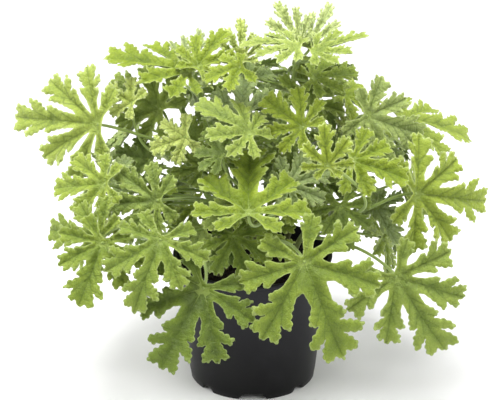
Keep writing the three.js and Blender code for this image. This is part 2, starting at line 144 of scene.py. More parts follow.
# The lobes of each kind of leaf, from the middle lobe round to the stalk: the direction, the length,
# the side toward the middle lobe, the other side, and how far in the cut beyond the lobe comes.
LobeForm = namedtuple("LobeForm", "angle length inner outer gap")
GROWN_LEAF = (
    LobeForm(0, 1, MIDDLE_SIDE, MIDDLE_SIDE, 0.25),
    LobeForm(44, 0.78, INNER_SIDE, OUTER_SIDE, 0.15),
    LobeForm(86, 0.67, BLUNT_SIDE, OUTER_SIDE, 0.13),
    LobeForm(128, 0.46, BASAL_SIDE, BASAL_SIDE, 0.05),
)
SMALL_LEAF = (
    LobeForm(0, 1, MIDDLE_SIDE, MIDDLE_SIDE, 0.28),
    LobeForm(44, 0.78, INNER_SIDE, OUTER_SIDE, 0.18),
    LobeForm(86, 0.66, BLUNT_SIDE, OUTER_SIDE, 0.17),
    LobeForm(128, 0.46, BASAL_SIDE, BASAL_SIDE, 0.06),
)
YOUNG_LEAF = (
    LobeForm(0, 1, MIDDLE_SIDE, MIDDLE_SIDE, 0.36),
    LobeForm(55, 0.8, INNER_SIDE, OUTER_SIDE, 0.22),
    LobeForm(112, 0.6, BASAL_SIDE, BASAL_SIDE, 0.1),
)
SMALL_SIZE = 52
YOUNG_SIZE = 30

# Each shoot: where its stem leaves the soil, its growing tip, and how far the stem rises before it leans.
Shoot = namedtuple("Shoot", "root tip rise")
SHOOTS = (
    Shoot((-20, -8), (-54, -12, 192), 75),
    Shoot((-24, -24), (-92, -56, 142), 75),
    Shoot((-10, 8), (-42, 12, 236), 90),
    Shoot((2, 18), (-6, 22, 243), 95),
    Shoot((10, 0), (33, 8, 256), 95),
    Shoot((24, 10), (66, 8, 184), 75),
    Shoot((28, -14), (74, -36, 150), 70),
    Shoot((4, -22), (22, -46, 168), 65),
    Shoot((-16, 26), (-58, 66, 200), 80),
    Shoot((16, 32), (52, 74, 205), 80),
)

# The leaves that the front shows. Places are as seen from the front and a little above, in mm from
# the middle of the plant. clock is the way the middle lobe points, in degrees from the right; lean tips
# it toward the viewer, and roll turns the blade about it. young runs from 0, old and dark, to 1, new and
# bright, and grey is how dull and pale the green is.
VIEW_ANGLE = 23 * DEGREES
VIEW_MIDDLE = 142
FrontLeaf = namedtuple("FrontLeaf", "shoot across up toward clock lean roll size open young grey")
FRONT_LEAVES = [FrontLeaf(*row) for row in (
    # Left
    (0, -110, 54, 48, 174, -8, 0, 67, 0.82, 0.6, 0.15),
    (0, -103, 12, 45, 100, -25, 0, 32, 1, 0.45, 0.7),
    (0, -102, 8, 55, 182, -10, 20, 40, 1, 0.52, 0.1),
    (0, -67, 0, 68, 185, 0, 0, 44, 1, 0.4, 0.25),
    (0, -48, 45, 52, 200, 10, 0, 27, 1, 1, 0),
    (0, -67, 66, 30, 150, -10, 0, 46, 1, 0.42, 0.2),
    (0, -75, 29, 24, 165, 0, 20, 28, 1, 0.3, 0.3),
    (0, -86, 70, 40, 150, 0, 0, 22, 1, 0.9, 0),
    # Front left
    (1, -104, -26, 72, 172, -18, 0, 44, 1, 0.4, 0.1),
    (1, -104, -33, 78, 251, 15, 0, 48, 1, 0.38, 0.1),
    (1, -64, -30, 92, 250, 20, 0, 52, 1, 0.36, 0.15),
    (1, -34, -60, 92, 241, 8, 0, 64, 1, 0.14, 0.1),
    # Top left
    (2, -47, 90, 40, 163, 5, 56, 60, 0.9, 0.46, 0),
    (2, -50, 92, 0, 66, -10, 30, 40, 0.6, 0.65, 0.8),
    (2, -37, 88, 34, 56, -15, -20, 38, 0.85, 0.5, 0),
    (2, -35, 25, 32, 110, -10, 0, 38, 1, 0.4, 0.2),
    # Top
    (3, -7, 101, 28, 88, 0, 20, 33, 0.6, 0.8, 0),
    (3, -5, 87, 12, 25, -30, -20, 30, 1, 0.35, 0.6),
    (3, -9, 59, 48, 85, -25, 0, 42, 1, 0.45, 0.7),
    (3, -9, 90, 56, 192, 10, 40, 27, 1, 0.55, 0),
    (3, -7, 40, 66, 142, 0, 45, 44, 1, 0.5, 0.2),
    (3, -28, 37, 6, 60, -10, 0, 36, 1, 0.3, 0.2),
    # Top right
    (4, 33, 112, 36, 118, 5, 20, 36, 0.58, 0.74, 0.45),
    (4, 38, 112, 36, 66, 5, -20, 36, 0.58, 0.74, 0.6),
    (4, 30, 102, 66, 165, 0, 58, 42, 0.75, 0.62, 0.25),
    (4, 43, 103, 64, 22, 0, -55, 40, 0.75, 0.56, 0.2),
    (4, 40, 74, 48, 62, -10, 0, 42, 0.85, 0.38, 0.15),
    (4, 36, 51, 54, 142, -10, 0, 38, 1, 0.55, 0),
    (4, 28, 43, 29, 165, 0, 0, 34, 1, 0.35, 0.2),
    (4, 47, 77, 30, 18, 5, -40, 34, 1, 0.4, 0.1),
    # Right
    (5, 81, 60, 48, -18, -12, 0, 47, 1, 0.52, 0.45),
    (5, 109, 59, 10, -4, -8, -50, 56, 0.9, 0.55, 0.1),
    (5, 59, 48, 10, 88, -10, 0, 30, 1, 0.35, 0.3),
    (5, 70, 24, 54, -18, 8, -20, 42, 1, 0.48, 0),
    (5, 72, 22, 20, 65, -10, 0, 33, 1, 0.35, 0.3),
    # Front right
    (6, 113, 5, 36, -5, -18, 0, 63, 1, 0.55, 0.05),
    (6, 101, -54, 56, -57, -4, 0, 66, 1, 0.42, 0.2),
    (6, 93, -5, -20, -60, 0, 0, 34, 1, 0.45, 0.7),
    (6, 63, -4, 30, -80, 0, 0, 34, 1, 0.3, 0.2),
    (6, 51, 22, 84, 95, -10, 0, 30, 1, 0.62, 0),
    # Front
    (7, -3, -6, 94, 90, -42, 0, 68, 1, 0.42, 0),
    (7, 35, -42, 98, -67, 5, 0, 73, 1.12, 0.36, 0.1),
    (7, 25, 11, 70, 20, 0, 0, 36, 1, 0.45, 0.7),
    (7, -17, 24, 56, 120, -30, 0, 42, 1, 0.3, 0.3),
    (7, 27, 23, 42, 90, -10, 0, 25, 1, 0.35, 0.2),
    (7, -13, -27, 50, 288, 20, 0, 38, 1, 0.3, 0.1),
)]

# The other leaves fill the back and the sides of the crown, spread by the golden ratio.
BACK_LEAVES = 24
BACK_SEED = 100
CROWN_MIDDLE = np.array((0, 14, 148))
CROWN_REACH = np.array((106, 98, 88))
BACK_SPREAD = 215
GOLDEN_RATIO = 0.618034
LOWEST_BACK_LEAF = -22
HIGHEST_BACK_LEAF = 72
BACK_LEAF_SIZE = (50, 14)
BACK_LEAF_TURN = 50
BACK_LEAF_TWIST = 24

# Where a leaf wasn't clear of the others, its solid was lifted, tilted or made smaller, and its stalk bent.
LIFTS = (0, 5, -5, 10, -10, 16, -16)
TILTS = (0, 14, -14, 28, -28)
SHRINKS = (1, 0.85, 0.72)
STALK_BENDS = (0, 10, -10, 20, -20)
SAME_PLACE = 0.05

# Leaves that the solids don't have: small ones inside the crown, and new ones at the stems' ends.
FILLERS = 24
FILLER_SEED = 300
FILLER_TRIES = 500
LOWEST_FILLER = -0.4
HIGHEST_FILLER = 0.3
FILLER_REACH = (0.4, 0.5)
FILLER_SIZE = (26, 14)
YOUNG_LEAVES = 4
YOUNG_SEED = 500
YOUNG_LEAF_SIZE = (10, 7)
YOUNG_LEAF_STEP = 137.5
MOST_RUFFLED = 0.6

# How far round a leaf another may touch it, as a share of its size, and the heights over its blade,
# in mm, that have to be clear of others.
TOUCHING = 1.1
CLEAR_LAYERS = (-1.2, 0.8, 2.8)

Leaf = namedtuple("Leaf", "shoot at ahead face side size seed open droop young grey")


# Small helpers

# A number from 0 to 1 that depends on the seed alone.
def draw(seed):
    wave = math.sin(seed * 127.1 + 311.7) * 43758.5453
    return wave - math.floor(wave)


def spread(seed, reach):
    return (draw(seed) * 2 - 1) * reach


def unit(vector):
    return vector / np.linalg.norm(vector)


# The vector turned about the axis.
def turned(vector, axis, angle):
    cos, sin = math.cos(angle), math.sin(angle)
    return vector * cos + np.cross(axis, vector) * sin + axis * np.dot(axis, vector) * (1 - cos)


# The direction square to the other that comes nearest to the wished one.
def squared(wished, other):
    return unit(wished - other * np.dot(wished, other))


# A way as seen from the front and a little above, in the part's own frame.
def from_view(across, up, toward):
    sin, cos = math.sin(VIEW_ANGLE), math.cos(VIEW_ANGLE)
    return np.array((across, up * sin - toward * cos, up * cos + toward * sin))


# The length of a line of points up to each of them.
def lengths_along(points):
    return np.concatenate(([0], np.cumsum(np.linalg.norm(np.diff(points, axis=0), axis=1))))


def put_in_scene(thing):
    bpy.context.scene.collection.objects.link(thing)


def smooth_step(values, low, high):
    share = np.clip((values - low) / (high - low), 0, 1)
    return share * share * (3 - 2 * share)


# A measure that grows with the ruffle of a leaf.
def ruffled(measure, ruffle):
    plain, more = measure
    return plain + more * ruffle


# The faces between rings of points, each ring with the same number of sides.
def ring_faces(rings, sides, first=0):
    faces = []
    for low in range(first, first + (rings - 1) * sides, sides):
        high = low + sides
        for i in range(sides):
            j = (i + 1) % sides
            faces.append([low + i, low + j, high + j, high + i])
    return faces


# Places of the leaves

def leaf_at(shoot, at, ahead, face, size, seed, open_, young, grey):
    droop = BLADE_DROOP * (1 + spread(seed + 0.5, 0.4))
    return Leaf(shoot, at, ahead, face, np.cross(ahead, face), size, seed, open_, droop, young, grey)


def front_leaf(row, seed):
    level = math.cos(row.lean * DEGREES)
    clock = row.clock * DEGREES
    ahead = from_view(level * math.cos(clock), level * math.sin(clock), math.sin(row.lean * DEGREES))
    face = turned(squared(from_view(0, 0, 1), ahead), ahead, row.roll * DEGREES)
    at = from_view(row.across, row.up, row.toward) + (0, 0, VIEW_MIDDLE)
    return leaf_at(row.shoot, at, ahead, face, row.size, seed, row.open, row.young, row.grey)


def back_leaf(rank):
    seed = BACK_SEED + rank
    around = (90 + (((rank * GOLDEN_RATIO) % 1) - 0.5) * BACK_SPREAD) * DEGREES
    share = (rank + 0.5) / BACK_LEAVES
    above = (LOWEST_BACK_LEAF + (HIGHEST_BACK_LEAF - LOWEST_BACK_LEAF) * share) * DEGREES
    out = np.array((math.cos(around), math.sin(around), 0))
    away = out * math.cos(above) + (0, 0, math.sin(above))
    at = CROWN_REACH * away + CROWN_MIDDLE
    face = turned(unit(away + (0, 0, 0.9)), out, spread(seed + 0.3, BACK_LEAF_TWIST) * DEGREES)
    ahead = turned(squared(out, face), face, spread(seed + 0.4, BACK_LEAF_TURN) * DEGREES)
    size = BACK_LEAF_SIZE[0] + spread(seed + 0.6, BACK_LEAF_SIZE[1])
    young = 0.3 + 0.5 * draw(seed + 0.7)
    grey = 0.6 * draw(seed + 0.8) ** 2
    return leaf_at(nearest_shoot(at), at, ahead, face, size, seed, 1, young, grey)


def nearest_shoot(at):
    return int(np.argmin([np.linalg.norm(at - shoot.tip) for shoot in SHOOTS]))


def moved(leaf, lift, tilt, shrink):
    cos, sin = math.cos(tilt * DEGREES), math.sin(tilt * DEGREES)
    return leaf._replace(
        at=leaf.at + leaf.face * lift,
        ahead=leaf.ahead * cos + leaf.face * sin,
        face=leaf.face * cos - leaf.ahead * sin,
        size=leaf.size * shrink,
    )


def places_of(leaf):
    return (moved(leaf, lift, tilt, shrink) for shrink in SHRINKS for tilt in TILTS for lift in LIFTS)


# The place that the solid leaf took, found by the tips of its lobes, or None if it didn't grow.
def place_of_solid(leaf, corners):
    for place in places_of(leaf):
        tips = [blade_point(place, lobe.length, lobe.turn, 0) for lobe in lobes_of(place)]
        if all(corners.find(tip)[2] < SAME_PLACE for tip in tips):
            return place
    return None


# Stems and stalks as curves

class Bezier:
    def __init__(self, *points):
        self.points = np.array(points, float)

    def at(self, share):
        t = np.atleast_1d(share)[:, None]
        a, b, c, d = self.points
        return a * (1 - t) ** 3 + b * 3 * t * (1 - t) ** 2 + c * 3 * t * t * (1 - t) + d * t ** 3

    def along(self, share):
        t = np.atleast_1d(share)[:, None]
        a, b, c, d = self.points
        slope = (b - a) * 3 * (1 - t) ** 2 + (c - b) * 6 * t * (1 - t) + (d - c) * 3 * t * t
        return slope / np.linalg.norm(slope, axis=1)[:, None]

    def spaced(self, shares):
        fine = np.linspace(0, 1, 201)
        points = self.at(fine)
        lengths = lengths_along(points)
        return self.at(np.interp(np.asarray(shares) * lengths[-1], lengths, fine))


def stem_curve(shoot):
    start = np.array((*shoot.root, SOIL_TOP - STEM_DEPTH), float)
    end = np.array(shoot.tip, float)
    bend = end + (start - end) * STEM_LEAN
    bend[2] = end[2] - (end[2] - SOIL_TOP) * STEM_LEAN
    return Bezier(start, start + (0, 0, shoot.rise), bend, end)


# The share of the stem where the stalk leaves it, to rise to the leaf at an easy slope.
def stalk_root(stem, leaf):
    shares = np.arange(*STALK_ROOTS)
    away = leaf.at - stem.at(shares)
    misfit = np.abs(away[:, 2] - STALK_SLOPE * np.linalg.norm(away, axis=1))
    return shares[np.argmin(misfit)]


def stalk_curve(stem, leaf, bend):
    share = stalk_root(stem, leaf)
    point, along = stem.at(share)[0], stem.along(share)[0]
    end = leaf.at + leaf.face * 0.3
    ease = np.linalg.norm(end - point) * STALK_EASE
    out = unit((end - point) * (1, 1, 0))
    leave = unit(along * 0.7 + out)
    arrive = unit(leaf.ahead * 0.6 + leaf.face * 0.8)
    sideways = leaf.side * bend
    return Bezier(point, point + leave * ease + sideways, end - arrive * ease + sideways, end)


# The stalk's bend shows in how near its line the corners of the solid stalk lie.
def stalk_of_solid(stem, leaf, corners):
    curves = [stalk_curve(stem, leaf, bend) for bend in STALK_BENDS]
    inner = (0.25, 0.5, 0.75)

    def misfit(curve):
        return sum(abs(corners.find(point)[2] - SOLID_STALK_RADIUS) for point in curve.spaced(inner))

    return min(curves, key=misfit)


# Leaf blades

Lobe = namedtuple("Lobe", "rank turn length inner outer gap")


def lobes_of(leaf):
    half = YOUNG_LEAF if leaf.size < YOUNG_SIZE else SMALL_LEAF if leaf.size < SMALL_SIZE else GROWN_LEAF
    lobes = []
    for rank in range(1 - len(half), len(half)):
        form = half[abs(rank)]
        seed = leaf.seed * 17 + rank
        jitter = (spread(seed + 0.1, 4), spread(seed + 0.2, 0.09)) if rank else (0, 0)
        turn = (math.copysign(form.angle, rank) + jitter[0]) * leaf.open * DEGREES
        lobes.append(Lobe(rank, turn, form.length * (1 + jitter[1]), form.inner, form.outer, form.gap))
    return lobes


# The directions of the cuts, from one side of the stalk to the other.
def cut_turns(lobes):
    between = [(a.turn + b.turn) / 2 for a, b in zip(lobes, lobes[1:])]
    return [-math.pi, *between, math.pi]


# How far in each cut comes.
def cut_gaps(leaf, lobes):
    gaps = [lobes[0].gap]
    for i, (before, after) in enumerate(zip(lobes, lobes[1:])):
        nearer = before if abs(before.rank) < abs(after.rank) else after
        gaps.append(nearer.gap * (1 + spread(leaf.seed * 3.3 + i, 0.25)))
    return [*gaps, gaps[0]]


def in_plane(radius, turn):
    return np.array((radius * math.sin(turn), radius * math.cos(turn)))


# One side of a lobe, from its neck to its tip: its corners, and the vein that runs to each lobule.
def lobe_side(leaf, lobe, place, way, cut_turn, gap):
    is_small = leaf.size < SMALL_SIZE
    room = abs(cut_turn - lobe.turn)
    half = min(room, WIDEST_SMALL_HALF_LOBE if is_small else WIDEST_HALF_LOBE)
    fullest = max(room - NARROWEST_CUT, 0.7 * room) / half
    cut_fill = SMALL_CUT_FILL if is_small else 0
    side = lobe.inner if way * lobe.rank < 0 else lobe.outer
    points = [((gap + NECK_RISE) / lobe.length, NECK_FILL)] if lobe.rank else []
    veins = []
    for rank, (low, tip, high, cut) in enumerate(side):
        seed = leaf.seed * 9.1 + place * 3 + way + rank * 0.31
        longer, wider = spread(seed, 0.02), 1 + spread(seed + 0.05, 0.12)
        lobule = (low, tip, high, (cut[0], cut[1] + (high[1] - cut[1]) * cut_fill))
        points += [(share + longer, min(fill * wider, fullest)) for share, fill in lobule]
        (low, low_fill), (tip, tip_fill) = points[-4:-2]
        end = lobe.turn + way * half * (low_fill + tip_fill) / 2
        veins.append((0.6 * low * lobe.length, lobe.turn, 0.95 * tip * lobe.length, end))
    return [in_plane(share * lobe.length, lobe.turn + way * fill * half) for share, fill in points], veins


# The outline's corners, clockwise, and the veins that run to its lobules.
def outline_corners(leaf, lobes):
    turns, gaps = cut_turns(lobes), cut_gaps(leaf, lobes)
    corners, veins = [], []
    for i, lobe in enumerate(lobes):
        before, veins_before = lobe_side(leaf, lobe, i, -1, turns[i], gaps[i])
        after, veins_after = lobe_side(leaf, lobe, i, 1, turns[i + 1], gaps[i + 1])
        corners += [in_plane(gaps[i], turns[i]), *before, in_plane(lobe.length, lobe.turn), *after[::-1]]
        veins += veins_before + veins_after
    return np.array(corners), veins


# The outline with its corners rounded, more on the outer ones, and the places of its cuts.
def rounded_outline(corners):
    before, after = np.roll(corners, 1, 0) - corners, np.roll(corners, -1, 0) - corners
    long_before, long_after = np.linalg.norm(before, axis=1), np.linalg.norm(after, axis=1)
    turning = before[:, 0] * after[:, 1] - before[:, 1] * after[:, 0]
    straight = -(before * after).sum(1)
    bend = np.arctan2(turning, straight)
    points, cuts = [], []
    for i, corner in enumerate(corners):
        reach = OUTER_ROUNDING if bend[i] > 0 else INNER_ROUNDING
        start = corner + before[i] * min(reach / long_before[i], 0.45)
        end = corner + after[i] * min(reach / long_after[i], 0.45)
        if bend[i] < CUT_BEND:
            cuts.append(len(points) + ROUNDING_POINTS // 2)
        for t in np.linspace(0, 1, ROUNDING_POINTS):
            points.append(start * (1 - t) ** 2 + corner * 2 * t * (1 - t) + end * t * t)
    return np.array(points), cuts


# Small leaves are made of fewer points for their size.
def coarseness(leaf):
    return max(1, (42 / leaf.size) ** 0.7)


# The outline with blunt teeth between its cuts, at an even step, and each point's place along the teeth.
def toothed_outline(leaf, corners):
    points, cuts = rounded_outline(corners)
    closed = np.vstack((points, points[:1]))
    lengths = lengths_along(closed)
    whole = lengths[-1]
    tooth_length = TOOTH_LENGTH * (1 if leaf.size >= SMALL_SIZE else SMALL_TOOTH)
    count = int(whole / tooth_length * OUTLINE_STEPS / coarseness(leaf) ** 0.5)
    places = np.arange(count) * whole / count
    line = np.stack([np.interp(places, lengths, closed[:, axis]) for axis in (0, 1)], 1)
    starts = lengths[cuts]
    lift = np.zeros(count)
    tooth_phase = np.zeros(count)
    for rank, start in enumerate(starts):
        stretch = (starts[(rank + 1) % len(starts)] - start) % whole
        from_start = (places - start) % whole
        inside = from_start < stretch
        teeth = max(1, round(stretch / tooth_length))
        phase = from_start[inside] / stretch * teeth
        tooth = np.floor(phase)
        height = np.array([0.7 + 0.6 * draw(leaf.seed * 7.3 + rank + t * 0.37) for t in tooth])
        profile = 1 - np.abs(2 * (phase - tooth) - 1) ** 1.6
        from_cut = np.minimum(from_start[inside], stretch - from_start[inside])
        lift[inside] = (profile - 0.5) * height * smooth_step(from_cut, 0, 0.07)
        tooth_phase[inside] = phase + rank * 0.5
    from_middle = np.linalg.norm(line, axis=1)
    tallness = TOOTH_HEIGHT if leaf.size >= SMALL_SIZE else SMALL_TOOTH_HEIGHT
    amplitude = tallness * tooth_length * (0.1 + 0.9 * smooth_step(from_middle, 0.25, 0.6))
    along = np.roll(line, -1, 0) - np.roll(line, 1, 0)
    along /= np.linalg.norm(along, axis=1)[:, None]
    outward = np.stack((-along[:, 1], along[:, 0]), 1)
    return line + outward * (lift * amplitude)[:, None], tooth_phase


def inside_outline(points, outline):
    x, y = points[:, 0][:, None], points[:, 1][:, None]
    x0, y0 = outline.T
    x1, y1 = np.roll(outline, -1, 0).T
    crosses = (y0 > y) != (y1 > y)
    with np.errstate(divide="ignore", invalid="ignore"):
        meets = x < (x1 - x0) * (y - y0) / (y1 - y0) + x0
    return (crosses & meets).sum(1) % 2 == 1


def distance_to_segments(points, starts, ends):
    along = ends - starts
    lengths = np.maximum((along ** 2).sum(1), 1e-12)
    away = points[:, None] - starts
    share = np.clip((away * along).sum(2) / lengths, 0, 1)
    return np.linalg.norm(away - along * share[..., None], axis=2)


# Points inside the outline: on the ribs and veins, and an even net between them.
def inner_points(leaf, outline, lobes, veins):
    step = NET_STEP * coarseness(leaf)
    points = [np.zeros((1, 2))]
    for lobe in lobes:
        steps = np.arange(step, lobe.length * 0.96, step * 0.8)
        points.append(np.array([in_plane(step, lobe.turn) for step in steps]))
    for near, near_turn, far, far_turn in veins:
        start, end = in_plane(near, near_turn), in_plane(far, far_turn)
        shares = np.linspace(0, 1, max(3, int(np.linalg.norm(end - start) / step)))[1:]
        points.append(start + (end - start) * shares[:, None])
    on_veins = np.vstack(points)
    rows = np.arange(-1.1, 1.1, step * 0.87)
    columns = np.arange(-1.1, 1.1, step)
    net = np.array([(x + (i % 2) * step / 2, y) for i, y in enumerate(rows) for x in columns])
    random = np.random.default_rng(int(leaf.seed * 10))
    net = net + random.uniform(-0.2, 0.2, net.shape) * step
    net = net[inside_outline(net, outline)]
    far_enough = np.linalg.norm(net[:, None] - on_veins, axis=2).min(1) > step * 0.55
    found = np.vstack((on_veins, net[far_enough]))
    found = found[inside_outline(found, outline)]
    return found[np.linalg.norm(found[:, None] - outline, axis=2).min(1) > step * 0.45]


# A point of the solid leaf's blade.
def blade_point(leaf, radius, turn, from_rib):
    fold = BLADE_FOLD * radius * abs(math.sin(from_rib))
    arch = BLADE_CUP * radius - leaf.droop * radius * radius
    across, ahead = in_plane(radius, turn)
    return leaf.at + leaf.size * (leaf.side * across + leaf.ahead * ahead + leaf.face * (fold + arch))


Blade = namedtuple("Blade", "points triangles rim rib vein edge reach plane leaf")


# The flat blade's points and triangles.
def filled_outline(outline, inner):
    flat = [Vector(point) for point in np.vstack((outline, inner))]
    made = geometry.delaunay_2d_cdt(flat, [], [list(range(len(outline)))], 1, 1e-6)
    plane = np.array([tuple(point) for point in made[0]])
    return plane, np.array([face for face in made[2] if len(face) == 3])


# The blade as a middle surface: its points in the part's frame and its triangles, with each point's
# distances in mm from the ribs, the side veins and the edge.
def make_blade(leaf, ruffle):
    lobes = lobes_of(leaf)
    corners, veins = outline_corners(leaf, lobes)
    outline, phase = toothed_outline(leaf, corners)
    plane, triangles = filled_outline(outline, inner_points(leaf, outline, lobes, veins))

    tips = np.array([in_plane(lobe.length * 0.97, lobe.turn) for lobe in lobes])
    rib = distance_to_segments(plane, np.zeros_like(tips), tips).min(1) * leaf.size
    vein_starts = np.array([in_plane(near, near_turn) for near, near_turn, _, _ in veins])
    vein_ends = np.array([in_plane(far, far_turn) for _, _, far, far_turn in veins])
    vein = distance_to_segments(plane, vein_starts, vein_ends).min(1) * leaf.size
    to_edge = np.linalg.norm(plane[:, None] - outline, axis=2)
    edge = to_edge.min(1) * leaf.size
    tooth = phase[to_edge.argmin(1)]

    radius = np.linalg.norm(plane, axis=1)
    height = leaf.size * large_forms(leaf, lobes, plane, radius)
    fine = min(1, leaf.size / SMALL_SIZE)
    depth = fine * ruffled(RIB_DEPTH, ruffle)
    height -= depth * np.exp(-(rib / fine / RIB_WIDTH) ** 2) * smooth_step(1 - radius, 0, 0.3)
    height -= VEIN_DEPTH_SHARE * depth * np.exp(-(vein / fine / VEIN_WIDTH) ** 2)
    between = np.minimum(np.minimum(rib, vein) / fine / QUILT_WIDTH, 1)
    height += fine * ruffled(QUILT_HEIGHT, ruffle) * between
    curl = np.exp(-edge / ruffled(CURL_REACH, ruffle))
    wave = np.sin(2 * np.pi * tooth) + 0.5 * np.sin(np.pi * tooth + leaf.seed)
    height += fine * ruffled(EDGE_CURL, ruffle) * curl * wave * smooth_step(radius, 0.15, 0.5)
    across, ahead = (swayed(leaf, plane, radius) * leaf.size).T
    points = leaf.at + np.outer(across, leaf.side) + np.outer(ahead, leaf.ahead)
    points += np.outer(height, leaf.face)
    return Blade(points, triangles, rim_edges(triangles), rib, vein, edge, radius, plane * leaf.size, leaf)


# The fold of each lobe along its rib, the arch of the whole blade, and each lobe's own lift and twist.
def large_forms(leaf, lobes, plane, radius):
    turn = np.arctan2(plane[:, 0], plane[:, 1])
    sector = np.clip(np.searchsorted(cut_turns(lobes), turn) - 1, 0, len(lobes) - 1)
    aside = np.sin(turn - np.array([lobe.turn for lobe in lobes])[sector])
    fold = BLADE_FOLD * radius * (np.sqrt(aside ** 2 + FOLD_SOFTNESS ** 2) - FOLD_SOFTNESS)
    fold += RIB_VALLEY * (1 - np.exp(-radius * np.abs(aside) / FOLD_SOFTNESS))
    arch = BLADE_CUP * radius - leaf.droop * radius ** 2
    lift = np.array([spread(leaf.seed * 3.1 + lobe.rank, LOBE_LIFT) for lobe in lobes])[sector]
    twist = np.array([spread(leaf.seed * 5.7 + lobe.rank, LOBE_TWIST) for lobe in lobes])[sector]
    return fold + arch + lift * radius ** 2 + twist * aside * radius ** 2


# The blade's points moved a little within its plane, so that no lobe is quite straight.
def swayed(leaf, plane, radius):
    x, y = plane.T
    sway = np.stack((
        np.sin(y * 5.1 + leaf.seed) + np.sin(x * 7.3 + leaf.seed * 2),
        np.sin(x * 5.7 + leaf.seed * 3) + np.sin(y * 6.9 + leaf.seed),
    ), 1)
    return plane + LOBE_SWAY * sway * radius[:, None]


# The edges that only one triangle has, in that triangle's direction.
def rim_edges(triangles):
    edges = np.vstack((triangles[:, [0, 1]], triangles[:, [1, 2]], triangles[:, [2, 0]]))
    seen = {(a, b) for a, b in edges.tolist()}
    return np.array([(a, b) for a, b in sorted(seen) if (b, a) not in seen])


def vertex_normals(points, triangles):
    a, b, c = (points[triangles[:, i]] for i in range(3))
    normals = np.cross(b - a, c - a)
    total = np.zeros_like(points)
    for i in range(3):
        np.add.at(total, triangles[:, i], normals)
    return total / np.maximum(np.linalg.norm(total, axis=1), 1e-12)[:, None]


# Meshes are gathered as parts, each with its points, faces and named values at the points.
class Gathered:
    def __init__(self, names):
        self.points, self.faces, self.count = [], [], 0
        self.values = {name: [] for name in names}
        self.places = []

    def add(self, points, faces, places, **values):
        self.points.append(points)
        self.faces += [[corner + self.count for corner in face] for face in faces]
        self.places.append(places)
        for name, kept in self.values.items():
            kept.append(np.broadcast_to(values[name], len(points)).astype(np.float32))
        self.count += len(points)

    def build(self, name, material):
        mesh = bpy.data.meshes.new(name)
        points = np.vstack(self.points) * METRE
        mesh.from_pydata(points.tolist(), [], self.faces)
        mesh.polygons.foreach_set("use_smooth", [True] * len(mesh.polygons))
        for key, kept in self.values.items():
            attribute = mesh.attributes.new(key, "FLOAT", "POINT")
            attribute.data.foreach_set("value", np.concatenate(kept))
        corners = np.empty(len(mesh.loops), np.int32)
        mesh.loops.foreach_get("vertex_index", corners)
        layer = mesh.uv_layers.new(name="pattern")
        layer.uv.foreach_set("vector", np.vstack(self.places)[corners].astype(np.float32).ravel())
        mesh.materials.append(material)
        piece = bpy.data.objects.new(name, mesh)
        put_in_scene(piece)
        return piece


def add_blade(gathered, blade):
    leaf = blade.leaf
    normals = vertex_normals(blade.points, blade.triangles)
    if np.dot(normals.mean(0), leaf.face) < 0:
        normals = -normals
    half = BLADE_THICKNESS / 2 * (0.45 + 0.55 * smooth_step(blade.edge, 0, 1.2))
    rib_swell = 0.3 * np.exp(-(blade.rib / 0.7) ** 2) * np.clip(1.2 - blade.reach, 0, 1)
    upper = blade.points + normals * half[:, None]
    lower = blade.points - normals * (half + rib_swell)[:, None]
    count = len(upper)
    a, b, c = (upper[blade.triangles[0, i]] for i in range(3))
    facing_up = np.dot(np.cross(b - a, c - a), leaf.face) > 0
    top = blade.triangles if facing_up else blade.triangles[:, ::-1]
    rim = blade.rim if facing_up else blade.rim[:, ::-1]
    faces = top.tolist()
    faces += (top[:, ::-1] + count).tolist()
    faces += [[b, a, a + count, b + count] for a, b in rim.tolist()]
    finer = max(1, SMALL_SIZE / leaf.size)
    lines = {"rib": blade.rib * finer, "vein": blade.vein * finer, "edge": blade.edge * finer}
    both_sides = {name: np.tile(value, 2) for name, value in lines.items()}
    offset = np.array((draw(leaf.seed + 0.91), draw(leaf.seed + 0.92))) * 3
    places = np.tile(blade.plane / 100 + offset, (2, 1))
    gathered.add(
        np.vstack((upper, lower)), faces, places,
        young=leaf.young, grey=leaf.grey, under=np.repeat((0, 1), count), reach=np.tile(blade.reach, 2),
        **both_sides,
    )
    edge_points = blade.rim[::2, 0]
    outward = blade.points[edge_points] - leaf.at
    outward /= np.linalg.norm(outward, axis=1)[:, None]
    add_hairs(
        gathered, blade.points[edge_points], outward,
        young=leaf.young, grey=leaf.grey, under=0, rib=9, vein=9, edge=0, reach=1,
    )


# A round tube along a line of points, closed by a dome at each end.
def add_tube(gathered, line, radii, sides, **values):
    line = np.asarray(line, float)
    along = np.gradient(line, axis=0)
    along /= np.linalg.norm(along, axis=1)[:, None]
    side = squared(np.array((0.31, 0.57, 0.76)), along[0])
    turns = np.arange(sides) * 2 * math.pi / sides
    rings = []
    for point, way, radius in zip(line, along, radii):
        side = squared(side, way)
        other = np.cross(way, side)
        rings.append(point + radius * (np.outer(np.cos(turns), side) + np.outer(np.sin(turns), other)))
    ends = (line[0] - along[0] * radii[0] * 0.6, line[-1] + along[-1] * radii[-1] * 0.6)
    points = np.vstack((*rings, ends[0], ends[1]))
    faces = ring_faces(len(line), sides)
    last = (len(line) - 1) * sides
    first_end, last_end = len(points) - 2, len(points) - 1
    for i in range(sides):
        j = (i + 1) % sides
        faces.append([j, i, first_end])
        faces.append([last + i, last + j, last_end])
    lengths = lengths_along(line)
    places = np.array([(turn / 10, length / 100) for length in lengths for turn in turns])
    places = np.vstack((places, (0, 0), (0, lengths[-1] / 100)))
    shares = lengths / lengths[-1]
    given = {name: np.append(np.repeat(np.interp(shares, (0, 1), ends), sides), ends)
             for name, ends in values.items()}
    gathered.add(points, faces, places, **given)
    return np.array(rings)


